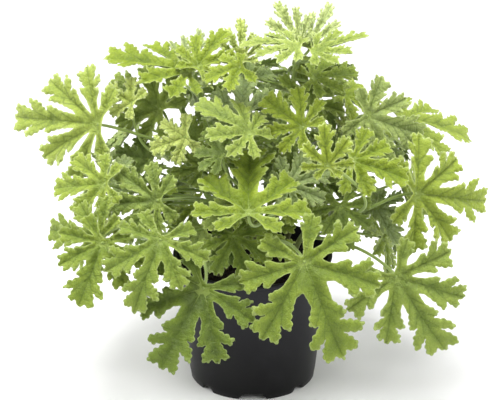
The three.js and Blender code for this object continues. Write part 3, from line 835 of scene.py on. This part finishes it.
# A short hair on each of the given points.
def add_hairs(gathered, roots, outward, **values):
    random = np.random.default_rng(len(roots))
    lengths = HAIR_LENGTH * random.uniform(0.6, 1.3, (len(roots), 1))
    tips = roots + outward * lengths + random.normal(0, 0.15, roots.shape)
    across = np.cross(outward, random.normal(0, 1, roots.shape))
    across *= HAIR_WIDTH / 2 / np.linalg.norm(across, axis=1)[:, None]
    points = np.stack((roots - across, roots + across, tips), 1).reshape(-1, 3)
    values = {name: np.repeat(value, 3) if np.ndim(value) else value for name, value in values.items()}
    faces = np.arange(len(points)).reshape(-1, 3).tolist()
    gathered.add(points, faces, np.zeros((len(points), 2)), **values)


# Hairs all over a tube, given by its rings of points.
def add_tube_hairs(gathered, rings, **values):
    middles = rings.mean(1, keepdims=True)
    outward = rings - middles
    outward /= np.linalg.norm(outward, axis=2, keepdims=True)
    random = np.random.default_rng(len(rings))
    onward = random.uniform(0, 1, (len(rings) - 1, rings.shape[1], 1))
    roots = rings[:-1] * (1 - onward) + rings[1:] * onward
    add_hairs(gathered, roots.reshape(-1, 3), outward[:-1].reshape(-1, 3), **values)


def stalk_radii(count):
    shares = np.linspace(0, 1, count)
    return STALK_RADIUS * (1.12 - 0.3 * shares + 0.35 * np.exp(-(shares / 0.05) ** 2))


def add_stalk(gathered, curve, leaf):
    shares = np.linspace(0, 1, STALK_RINGS)
    scale = 0.72 + 0.28 * min(leaf.size / 60, 1)
    radii = stalk_radii(len(shares)) * scale
    young = 0.55 + 0.4 * leaf.young
    rings = add_tube(gathered, curve.spaced(shares), radii, STALK_SIDES, young=(0.4, young), wood=(0, 0))
    add_tube_hairs(gathered, rings, young=1, wood=0)


def add_stem(gathered, stem, roots):
    shares = np.linspace(0, 1, STEM_RINGS)
    knots = sorted(set(roots))
    swelling = sum(KNOT_SWELLING * np.exp(-((shares - knot) / KNOT_LENGTH) ** 2) for knot in knots)
    radii = STEM_RADIUS * (1.0 - 0.3 * shares + np.minimum(swelling, 0.3))
    rings = add_tube(gathered, stem.spaced(shares), radii, STEM_SIDES, young=(0.2, 0.6), wood=(1, 0))
    add_tube_hairs(gathered, rings[len(rings) // 3:], young=0.8, wood=0)


# Materials

class Shader:
    """A material's nodes, made one by one."""

    def __init__(self, name):
        self.material = bpy.data.materials.new(name)
        self.material.use_nodes = True
        self.tree = self.material.node_tree
        self.surface = self.tree.nodes["Principled BSDF"]

    def node(self, kind, **settings):
        made = self.tree.nodes.new(kind)
        for name, value in settings.items():
            setattr(made, name, value)
        return made

    def link(self, source, socket):
        if isinstance(source, bpy.types.NodeSocket):
            self.tree.links.new(source, socket)
        else:
            socket.default_value = source

    def attribute(self, name):
        return self.node("ShaderNodeAttribute", attribute_name=name).outputs["Fac"]

    def math(self, operation, first, second):
        made = self.node("ShaderNodeMath", operation=operation)
        self.link(first, made.inputs[0])
        self.link(second, made.inputs[1])
        return made.outputs[0]

    def times(self, first, second):
        return self.math("MULTIPLY", first, second)

    def fade(self, value, low, high, to_low=0.0, to_high=1.0):
        made = self.node("ShaderNodeMapRange", interpolation_type="SMOOTHSTEP")
        self.link(value, made.inputs["Value"])
        for socket, number in zip(made.inputs[1:5], (low, high, to_low, to_high)):
            self.link(number, socket)
        return made.outputs[0]

    def mix(self, share, first, second):
        made = self.node("ShaderNodeMix", data_type="RGBA")
        self.link(share, made.inputs[0])
        self.link(first, made.inputs[6])
        self.link(second, made.inputs[7])
        return made.outputs[2]

    def pattern(self):
        return self.node("ShaderNodeUVMap", uv_map="pattern").outputs[0]

    def place(self):
        return self.node("ShaderNodeTexCoord").outputs["Object"]

    def noise(self, where, scale, detail=3.0, roughness=0.5):
        made = self.node("ShaderNodeTexNoise")
        self.link(where, made.inputs["Vector"])
        for name, value in (("Scale", scale), ("Detail", detail), ("Roughness", roughness)):
            made.inputs[name].default_value = value
        return made.outputs["Fac"]

    def cells(self, where, scale):
        made = self.node("ShaderNodeTexVoronoi", feature="DISTANCE_TO_EDGE")
        self.link(where, made.inputs["Vector"])
        made.inputs["Scale"].default_value = scale
        return made.outputs["Distance"]

    def bump(self, height, distance, strength=1.0, under=None):
        made = self.node("ShaderNodeBump")
        self.link(height, made.inputs["Height"])
        made.inputs["Distance"].default_value = distance
        made.inputs["Strength"].default_value = strength
        if under is not None:
            self.link(under, made.inputs["Normal"])
        return made.outputs[0]

    def finish(self, colour, roughness, normal, **constants):
        self.link(colour, self.surface.inputs["Base Color"])
        self.link(roughness, self.surface.inputs["Roughness"])
        self.link(normal, self.surface.inputs["Normal"])
        for name, value in constants.items():
            self.surface.inputs[name.replace("_", " ")].default_value = value
        return self.material


# Greens from old to new leaves, each with its place on that scale
LEAF_GREENS = (
    (0.05, (0.06, 0.092, 0.006, 1)),
    (0.38, (0.142, 0.206, 0.007, 1)),
    (0.7, (0.29, 0.37, 0.03, 1)),
    (1.0, (0.54, 0.63, 0.17, 1)),
)
OLD_BLOOM = (0.12, 0.21, 0.07, 1)
NEW_BLOOM = (0.62, 0.68, 0.42, 1)
NET_GREEN = (0.07, 0.11, 0.012, 1)
# The next two greens are painted shade: darker green in the side-vein grooves and in the hollows beside ribs
# and veins.
VEIN_GROOVE_SHADE = (0.08, 0.125, 0.014, 1)
PAINTED_HOLLOW_SHADE = (0.09, 0.15, 0.016, 1)
RIB_GREEN = (0.09, 0.14, 0.015, 1)
PALE_RIB = (0.34, 0.43, 0.1, 1)
PALE_EDGE = (0.62, 0.7, 0.34, 1)
HEART_GREEN = (0.4, 0.5, 0.14, 1)
UNDER_GREEN = (0.24, 0.32, 0.09, 1)


def leaf_material():
    s = Shader("leaf")
    where = s.pattern()
    patches = s.noise(where, 6, 4, 0.6)
    net, branches = s.cells(where, 62), s.cells(where, 22)
    colour = veined(s, aged_green(s, patches), net, branches)
    roughness = s.math("ADD", 0.42, s.times(patches, 0.14))
    return s.finish(
        colour, roughness, leaf_relief(s, where, net, branches),
        Sheen_Weight=0.06, Sheen_Roughness=0.4, Sheen_Tint=(0.95, 1, 0.85, 1), Specular_IOR_Level=0.28,
        Subsurface_Weight=0.25, Subsurface_Scale=0.0008, Subsurface_Radius=(0.8, 1, 0.25),
    )


# The green by the leaf's age, in patches, lighter toward the edge, under a bloom of fine hairs.
def aged_green(s, patches):
    young, grey = s.attribute("young"), s.attribute("grey")
    tone = s.math("ADD", young, s.times(s.math("SUBTRACT", patches, 0.5), 0.38))
    tone = s.math("ADD", tone, s.fade(s.attribute("edge"), 0, 7, 0.16, -0.06))
    ramp = s.node("ShaderNodeValToRGB")
    s.link(tone, ramp.inputs[0])
    stops = ramp.color_ramp.elements
    oldest, *between, newest = LEAF_GREENS
    stops[0].position, stops[0].color = oldest
    stops[1].position, stops[1].color = newest
    for position, green in between:
        stops.new(position).color = green
    bloom = s.mix(young, OLD_BLOOM, NEW_BLOOM)
    return s.mix(s.times(grey, 0.75), ramp.outputs[0], bloom)


# The net of fine veins, the side veins and ribs with painted shade in the vein grooves and the hollows
# beside them, the pale edge and heart, and the paler underside.
def veined(s, colour, net, branches):
    rib, vein, edge, reach = (s.attribute(name) for name in ("rib", "vein", "edge", "reach"))
    young, under = s.attribute("young"), s.attribute("under")
    for cells, line_width, strength in ((net, 0.12, 0.18), (branches, 0.07, 0.2)):
        colour = s.mix(s.times(s.fade(cells, 0, line_width, 1, 0), strength), colour, NET_GREEN)
    # Darker along the side veins on the upper face: painted shade in the vein grooves.
    painted_groove_shade = s.times(s.fade(vein, 0.1, 0.7, 0.48, 0), s.math("SUBTRACT", 1, under))
    colour = s.mix(painted_groove_shade, colour, VEIN_GROOVE_SHADE)
    # Darker within about 2 mm of the ribs and veins: painted shade in the hollows beside them.
    colour = s.mix(s.fade(s.math("MINIMUM", rib, vein), 0.2, 2.2, 0.08, 0), colour, PAINTED_HOLLOW_SHADE)
    colour = s.mix(s.fade(rib, 0.2, 0.75, 0.34, 0), colour, RIB_GREEN)
    pale_rib = s.times(s.fade(rib, 0.1, 0.45, 0.5, 0), s.fade(reach, 0.06, 0.3, 1, 0))
    colour = s.mix(pale_rib, colour, PALE_RIB)
    margin = s.times(s.fade(edge, 0.1, 1.0, 1, 0), s.fade(young, 0.2, 1, 0.16, 0.6))
    colour = s.mix(margin, colour, PALE_EDGE)
    colour = s.mix(s.fade(reach, 0.01, 0.03, 0.5, 0), colour, HEART_GREEN)
    return s.mix(s.times(under, 0.5), colour, UNDER_GREEN)


# Crinkles, calmer on new leaves, then puckers between the veins, and fuzz.
def leaf_relief(s, where, net, branches):
    crinkled = s.times(s.noise(where, 26, 3, 0.55), s.fade(s.attribute("young"), 0.3, 0.9, 1, 0.4))
    crinkles = s.bump(crinkled, 0.0016, 0.55)
    puckers = s.bump(s.fade(branches, 0, 0.3), 0.0004, 0.8, crinkles)
    small_puckers = s.bump(s.fade(net, 0, 0.25), 0.00035, 0.7, puckers)
    return s.bump(s.noise(where, 900, 2, 0.6), 0.00012, 0.6, small_puckers)


def stem_material():
    s = Shader("stem")
    young, wood = s.attribute("young"), s.attribute("wood")
    where = s.pattern()
    streaks = s.noise(where, 40, 4, 0.6)
    green = s.mix(young, (0.17, 0.25, 0.04, 1), (0.35, 0.45, 0.1, 1))
    green = s.mix(s.times(streaks, 0.5), green, (0.2, 0.3, 0.07, 1))
    bark = s.mix(streaks, (0.09, 0.065, 0.03, 1), (0.2, 0.17, 0.08, 1))
    colour = s.mix(s.fade(wood, 0.35, 0.9), green, bark)
    normal = s.bump(s.noise(where, 300, 4, 0.7), 0.0003, 0.7)
    return s.finish(colour, 0.6, normal, Sheen_Weight=0.3, Sheen_Roughness=0.5, Specular_IOR_Level=0.35)


# The first black below is painted shade for the pot's lower wall.
SHADED_FOOT_BLACK = (0.0015, 0.0015, 0.002, 1)
WALL_BLACK = (0.008, 0.008, 0.011, 1)
SCUFF_GREY = (0.014, 0.014, 0.017, 1)


def plastic_material():
    s = Shader("black_plastic")
    where = s.place()
    grain = s.noise(where, 900, 3, 0.6)
    scuffs = s.noise(where, 22, 5, 0.7)
    height = s.node("ShaderNodeSeparateXYZ")
    s.link(where, height.inputs[0])
    # Darker towards the foot, from about 10 to 90 mm up: painted shade on the lower wall.
    plain = s.mix(s.fade(height.outputs[2], 0.01, 0.09), SHADED_FOOT_BLACK, WALL_BLACK)
    colour = s.mix(s.fade(scuffs, 0.5, 0.8, 0, 0.5), plain, SCUFF_GREY)
    roughness = s.math("ADD", 0.3, s.times(scuffs, 0.16))
    normal = s.bump(grain, 0.0001, 0.35)
    return s.finish(colour, roughness, normal, Specular_IOR_Level=0.2)


def soil_material():
    s = Shader("potting_soil")
    where = s.place()
    crumbs = s.noise(where, 260, 6, 0.75)
    colour = s.mix(s.fade(crumbs, 0.35, 0.75), (0.006, 0.0045, 0.0035, 1), (0.04, 0.028, 0.018, 1))
    normal = s.bump(crumbs, 0.0012, 1.0)
    return s.finish(colour, 0.9, normal, Specular_IOR_Level=0.25)


def floor_material():
    s = Shader("pale_floor")
    faint = s.noise(s.place(), 3, 2, 0.5)
    colour = s.mix(faint, (0.86, 0.86, 0.86, 1), (0.89, 0.89, 0.885, 1))
    return s.finish(colour, 0.8, s.bump(faint, 0.0005, 0.1), Specular_IOR_Level=0.2)


# Pot

WALL = 1.5
LIP_WIDTH = 1.5
LIP_HEIGHT = 3
FOOT = 1.9
FLOOR_RISE = 5
WIDE_NOTCH = (11.3, 6.7, 4.5)
NARROW_NOTCH = (5.4, 2.6, 3.4)
EDGE_ROUND = 0.3
POT_SIDES = 240
MIDDLE_RING = 0.5
FLOOR_RING = 20
DRAIN_HOLES = 4
DRAIN_RADIUS = 3.2
DRAIN_SIDES = 32
DRILL_LENGTH = 6
DRAIN_RING = 35
FIRST_DRAIN = 22.5 * DEGREES


# How high the foot's edge is cut at a place round it, in mm.
def notch_height(turn):
    height = 0.0
    for (foot, top, depth), first in ((WIDE_NOTCH, 0), (NARROW_NOTCH, 45)):
        away = abs((turn / DEGREES - first + 45) % 90 - 45) * DEGREES * BASE_RADIUS
        share = np.clip((foot - away) / (foot - top), 0, 1)
        height = max(height, depth * share)
    return height


def wall_radius(height):
    return BASE_RADIUS + (RIM_RADIUS - LIP_WIDTH - BASE_RADIUS) * height / POT_HEIGHT


def inner_radius(height):
    return wall_radius(height) - WALL


# The pot's section from the middle of the floor's underside, out and up the wall, over the lip and down
# inside to the middle of the floor. True marks the points that the notches lift.
def pot_section():
    lip_foot = POT_HEIGHT - LIP_HEIGHT
    floor_top = FLOOR_RISE + WALL
    foot_inside = BASE_RADIUS - FOOT
    section = [(radius, FLOOR_RISE, False) for radius in (MIDDLE_RING, FLOOR_RING, foot_inside - 0.6)]
    section += [(foot_inside + 0.05, FLOOR_RISE - 0.4, False)]
    section += [(foot_inside, EDGE_ROUND, True), (foot_inside + EDGE_ROUND, 0, True)]
    section += [(BASE_RADIUS - EDGE_ROUND, 0, True), (BASE_RADIUS, EDGE_ROUND, True)]
    section += [(wall_radius(height), height, False) for height in (5.5, 6, 30, 60, 90, lip_foot - 0.8)]
    section += [(wall_radius(lip_foot) + 0.25, lip_foot - 0.15, False)]
    middle, half = lip_foot + LIP_HEIGHT / 2, LIP_HEIGHT / 2
    outer = RIM_RADIUS - 1.0
    for angle in range(-70, 91, 20):
        turn = angle * DEGREES
        section.append((outer + math.cos(turn), middle + (half - 0.02) * math.sin(turn), False))
    inner = inner_radius(POT_HEIGHT)
    section += [(inner + 0.5, POT_HEIGHT - 0.05, False), (inner + 0.12, POT_HEIGHT - 0.35, False)]
    section += [(inner_radius(height), height, False) for height in (POT_HEIGHT - 1, 80, 40, floor_top + 1)]
    floor_rings = (inner_radius(floor_top) - 1, FLOOR_RING, MIDDLE_RING)
    section += [(radius, floor_top, False) for radius in floor_rings]
    return section


def make_pot(material):
    section = pot_section()
    turns = np.arange(POT_SIDES) * 2 * math.pi / POT_SIDES
    points = []
    for radius, height, is_lifted in section:
        for turn in turns:
            z = height + notch_height(turn) if is_lifted else height
            points.append((radius * math.cos(turn), radius * math.sin(turn), z))
    faces = ring_faces(len(section), POT_SIDES)
    faces.append(list(range(POT_SIDES))[::-1])
    faces.append(list(range(len(points) - POT_SIDES, len(points))))
    pot = Gathered(())
    pot.add(np.array(points), faces, np.zeros((len(points), 2)))
    piece = pot.build("nursery_pot", material)
    bore_drain_holes(piece)
    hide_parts("pot")
    return piece


# Cuts the round holes through the pot's floor.
def bore_drain_holes(piece):
    drill = bmesh.new()
    for rank in range(DRAIN_HOLES):
        turn = FIRST_DRAIN + rank * 2 * math.pi / DRAIN_HOLES
        at = Vector((DRAIN_RING * math.cos(turn), DRAIN_RING * math.sin(turn), FLOOR_RISE)) * METRE
        radius = DRAIN_RADIUS * METRE
        bmesh.ops.create_cone(
            drill, cap_ends=True, segments=DRAIN_SIDES, radius1=radius, radius2=radius,
            depth=DRILL_LENGTH * METRE, matrix=Matrix.Translation(at),
        )
    mesh = bpy.data.meshes.new("drill")
    drill.to_mesh(mesh)
    drill.free()
    cutter = bpy.data.objects.new("drill", mesh)
    put_in_scene(cutter)
    bore = piece.modifiers.new("bore", "BOOLEAN")
    bore.object = cutter
    graph = bpy.context.evaluated_depsgraph_get()
    piece.data = bpy.data.meshes.new_from_object(piece.evaluated_get(graph))
    piece.modifiers.clear()
    bpy.data.objects.remove(cutter)


# Soil

SOIL_RINGS = 70
SOIL_SIDES = 150
SOIL_GAP = 0.35
SOIL_SEED = 11
CRUMBS = 900
CRUMB_CORNERS = np.array([(1, 0, 0), (-1, 0, 0), (0, 1, 0), (0, -1, 0), (0, 0, 1), (0, 0, -1)], float)
CRUMB_FACES = [[0, 2, 4], [2, 1, 4], [1, 3, 4], [3, 0, 4], [2, 0, 5], [1, 2, 5], [3, 1, 5], [0, 3, 5]]


def soil_height(x, y):
    coarse = np.sin(x * 0.11 + 1.3) * np.cos(y * 0.13 + 0.4)
    fine = np.sin(x * 0.31 + y * 0.17) * np.cos(y * 0.29 - x * 0.12)
    return SOIL_TOP + 1.6 * (coarse + 0.6 * fine)


def lump_height(x, y):
    return 0.9 * abs(math.sin(x * 1.3 + 2 * math.sin(y * 0.9)) * math.cos(y * 1.1 + 1.7 * math.sin(x * 0.8)))


def make_soil(material):
    soil = Gathered(())
    random = np.random.default_rng(SOIL_SEED)
    reach = inner_radius(SOIL_TOP) - SOIL_GAP
    points = [(0, 0, soil_height(0, 0))]
    for ring in range(1, SOIL_RINGS + 1):
        for side in range(SOIL_SIDES):
            turn = 2 * math.pi * (side + 0.5 * (ring % 2)) / SOIL_SIDES
            radius = reach * ring / SOIL_RINGS
            x, y = radius * math.cos(turn), radius * math.sin(turn)
            points.append((x, y, soil_height(x, y) + lump_height(x, y) + random.uniform(-0.25, 0.25)))
    floor = FLOOR_RISE + WALL + SOIL_GAP
    low_reach = inner_radius(floor) - SOIL_GAP
    for side in range(SOIL_SIDES):
        turn = 2 * math.pi * side / SOIL_SIDES
        points.append((low_reach * math.cos(turn), low_reach * math.sin(turn), floor))
    faces = [[0, 1 + i, 1 + (i + 1) % SOIL_SIDES] for i in range(SOIL_SIDES)]
    faces += [[a, d, c, b] for a, b, c, d in ring_faces(SOIL_RINGS + 1, SOIL_SIDES, 1)]
    faces.append(list(range(len(points) - SOIL_SIDES, len(points)))[::-1])
    soil.add(np.array(points), faces, np.zeros((len(points), 2)))
    add_crumbs(soil, random, reach)
    piece = soil.build("peat", material)
    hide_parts("soil")
    return piece


# Loose crumbs, each a small squashed octahedron, lying on the soil.
def add_crumbs(soil, random, reach):
    for _ in range(CRUMBS):
        radius = (reach - 2) * math.sqrt(random.uniform())
        turn = random.uniform(0, 2 * math.pi)
        x, y = radius * math.cos(turn), radius * math.sin(turn)
        size = 0.5 + 1.3 * random.uniform() ** 3
        corners = CRUMB_CORNERS * random.uniform(0.6, 1.2, (6, 3)) * size
        at = np.array((x, y, soil_height(x, y) + 0.7 + 0.3 * size))
        soil.add(corners + at, CRUMB_FACES, np.zeros((6, 2)))


# Plant

def corner_tree(node):
    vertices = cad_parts[node].data.vertices
    tree = kdtree.KDTree(len(vertices))
    for i, vertex in enumerate(vertices):
        tree.insert(vertex.co / METRE, i)
    tree.balance()
    return tree


def make_plant():
    leaf_green, stem_green = leaf_material(), stem_material()
    trees = [corner_tree(f"shoot_{i + 1:02d}") for i in range(len(SHOOTS))]
    stems = [stem_curve(shoot) for shoot in SHOOTS]
    wished = [front_leaf(row, i + 1) for i, row in enumerate(FRONT_LEAVES)]
    wished += [back_leaf(rank) for rank in range(BACK_LEAVES)]
    grown = []
    for leaf in wished:
        place = place_of_solid(leaf, trees[leaf.shoot])
        if place:
            curve = stalk_of_solid(stems[place.shoot], place, trees[place.shoot])
            grown.append(Grown(make_blade(place, ruffle_of(place)), curve))
    add_young(grown, stems)
    add_fillers(grown, stems)
    for i, stem in enumerate(stems):
        blades = Gathered(("young", "grey", "rib", "vein", "edge", "reach", "under"))
        wood = Gathered(("young", "wood"))
        own = [leaf for leaf in grown if leaf.blade.leaf.shoot == i]
        add_stem(wood, stem, [stalk_root(stem, leaf.blade.leaf) for leaf in own])
        for leaf in own:
            add_blade(blades, leaf.blade)
            add_stalk(wood, leaf.stalk, leaf.blade.leaf)
        node = f"shoot_{i + 1:02d}"
        for gathered, name, material in ((blades, "leaves", leaf_green), (wood, "stems", stem_green)):
            piece = gathered.build(f"{name}_{i + 1:02d}", material)
            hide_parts(node)
            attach(piece, "root")


# A leaf as it has grown, with what tells whether another would cut it.
class Grown:
    def __init__(self, blade, stalk):
        self.blade, self.stalk = blade, stalk
        self.tree = BVHTree.FromPolygons(blade.points.tolist(), blade.triangles.tolist())
        self.reach = blade.leaf.size * TOUCHING

    def is_near(self, leaf):
        return np.linalg.norm(self.blade.leaf.at - leaf.at) < self.reach + leaf.size * TOUCHING


# The blade's plain outline as three thin fans, a little apart.
def rough_blade(leaf):
    corners, _ = outline_corners(leaf, lobes_of(leaf))
    radius = np.linalg.norm(corners, axis=1)
    height = BLADE_CUP * radius - leaf.droop * radius ** 2
    rim = leaf.at + leaf.size * (
        np.outer(corners[:, 0], leaf.side)
        + np.outer(corners[:, 1], leaf.ahead)
        + np.outer(height, leaf.face)
    )
    count = len(rim)
    points, faces = [], []
    for layer, lift in enumerate(CLEAR_LAYERS):
        first = layer * (count + 1)
        points += [leaf.at + leaf.face * lift, *(rim + leaf.face * lift)]
        faces += [[first, first + 1 + i, first + 1 + (i + 1) % count] for i in range(count)]
    return BVHTree.FromPolygons([tuple(point) for point in points], faces)


def stalk_tree(curve):
    line = curve.spaced(np.linspace(0.08, 0.97, 14))
    tube = Gathered(())
    add_tube(tube, line, np.full(len(line), STALK_RADIUS), 4)
    return BVHTree.FromPolygons(tube.points[0].tolist(), tube.faces)


# Grows a leaf if it and its stalk are clear of the others.
def try_to_grow(grown, stems, leaf):
    near = [other for other in grown if other.is_near(leaf)]
    rough = rough_blade(leaf)
    if any(rough.overlap(other.tree) for other in near):
        return False
    for bend in STALK_BENDS:
        curve = stalk_curve(stems[leaf.shoot], leaf, bend)
        tree = stalk_tree(curve)
        if not any(tree.overlap(other.tree) for other in grown):
            grown.append(Grown(make_blade(leaf, ruffle_of(leaf)), curve))
            return True
    return False


# Small leaves that fill the inside of the crown.
def add_fillers(grown, stems):
    count = 0
    for rank in range(FILLER_TRIES):
        seed = FILLER_SEED + rank
        around = 2 * math.pi * draw(seed)
        above = math.asin(LOWEST_FILLER + (HIGHEST_FILLER - LOWEST_FILLER) * draw(seed + 0.1))
        level = math.cos(above)
        away = np.array((math.cos(around) * level, math.sin(around) * level, math.sin(above)))
        at = CROWN_MIDDLE + CROWN_REACH * away * (FILLER_REACH[0] + FILLER_REACH[1] * draw(seed + 0.2))
        face = unit(away * 0.6 + (spread(seed + 0.3, 0.4), spread(seed + 0.4, 0.4), 0.8))
        ahead = turned(squared(away + (0, 0, 0.01), face), face, spread(seed + 0.5, 1.2))
        size = FILLER_SIZE[0] + FILLER_SIZE[1] * draw(seed + 0.6)
        young = 0.15 + 0.45 * draw(seed + 0.7)
        grey = 0.5 * draw(seed + 0.8) ** 2
        leaf = leaf_at(nearest_shoot(at), at, ahead, face, size, seed, 1, young, grey)
        count += try_to_grow(grown, stems, leaf)
        if count == FILLERS:
            break


# New leaves at the end of each stem, where there is room for them.
def add_young(grown, stems):
    for i, stem in enumerate(stems):
        tip, along = stem.at(1)[0], stem.along(1)[0]
        side = squared(np.array((0.3, 0.8, 0.1)), along)
        for rank in range(YOUNG_LEAVES):
            seed = YOUNG_SEED + i * 10 + rank
            out = turned(side, along, (rank * YOUNG_LEAF_STEP + spread(seed, 20)) * DEGREES)
            ahead = unit(out * 0.8 + along * 0.5 + (0, 0, 0.35))
            at = tip + out * (4 + 5 * draw(seed + 0.1)) + along * (2 + 9 * draw(seed + 0.2))
            face = squared(along + (0, 0, 0.6), ahead)
            size = YOUNG_LEAF_SIZE[0] + YOUNG_LEAF_SIZE[1] * draw(seed + 0.3)
            leaf = leaf_at(i, at, ahead, face, size, seed, 0.9, 0.95, 0)
            try_to_grow(grown, stems, leaf)


# New leaves are ruffled, and small ones most.
def ruffle_of(leaf):
    return MOST_RUFFLED * max(0, (leaf.young - 0.5) / 0.5) * min(1, 45 / leaf.size)


# Studio, in metres

FLOOR_REACH = 30
AMBIENT = 0.38
LAMP_AIM = Vector((0, 0, 0.15))
# Each lamp: its name, place, width and power
LAMPS = (
    ("key", (-0.9, -0.7, 1.4), 0.7, 14),
    ("top", (-0.1, 0.0, 1.7), 0.9, 31),
    ("right", (1.1, -0.8, 0.9), 0.9, 10),
    ("left", (-1.3, 0.2, 0.4), 0.6, 8),
    ("right edge", (1.3, 0.35, 0.3), 0.6, 7),
)
CAMERA_ELEVATION = 23.06 * DEGREES
CAMERA_TARGET = Vector((-0.002, 0, 0.1422))
CAMERA_DISTANCE = 1.2
CAMERA_LENS = 116.7
CAMERA_SENSOR = 36


def make_studio():
    mesh = bpy.data.meshes.new("floor")
    corners = [(x * FLOOR_REACH, y * FLOOR_REACH, 0) for x, y in ((-1, -1), (1, -1), (1, 1), (-1, 1))]
    mesh.from_pydata(corners, [], [[0, 1, 2, 3]])
    mesh.materials.append(floor_material())
    floor = bpy.data.objects.new("floor", mesh)
    put_in_scene(floor)

    world = bpy.data.worlds.new("studio")
    bpy.context.scene.world = world
    world.use_nodes = True
    background = world.node_tree.nodes["Background"]
    background.inputs["Color"].default_value = (1, 1, 1, 1)
    background.inputs["Strength"].default_value = AMBIENT
    for lamp in LAMPS:
        add_lamp(*lamp)


def add_lamp(name, place, width, power):
    light = bpy.data.lights.new(name, "AREA")
    light.shape = "DISK"
    light.size = width
    light.energy = power
    lamp = bpy.data.objects.new(name, light)
    lamp.location = place
    point_at(lamp, LAMP_AIM - lamp.location)
    put_in_scene(lamp)


def make_camera():
    back = Vector((0, -math.cos(CAMERA_ELEVATION), math.sin(CAMERA_ELEVATION)))
    data = bpy.data.cameras.new("camera")
    data.lens = CAMERA_LENS
    data.sensor_width = CAMERA_SENSOR
    camera = bpy.data.objects.new("camera", data)
    camera.location = CAMERA_TARGET + back * CAMERA_DISTANCE
    point_at(camera, -back)
    put_in_scene(camera)
    bpy.context.scene.camera = camera


def point_at(thing, way):
    thing.rotation_mode = "QUATERNION"
    thing.rotation_quaternion = way.to_track_quat("-Z", "Y")


make_studio()
make_camera()
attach(make_pot(plastic_material()), "root")
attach(make_soil(soil_material()), "root")
make_plant()

bpy.context.scene.view_settings.view_transform = "Standard"
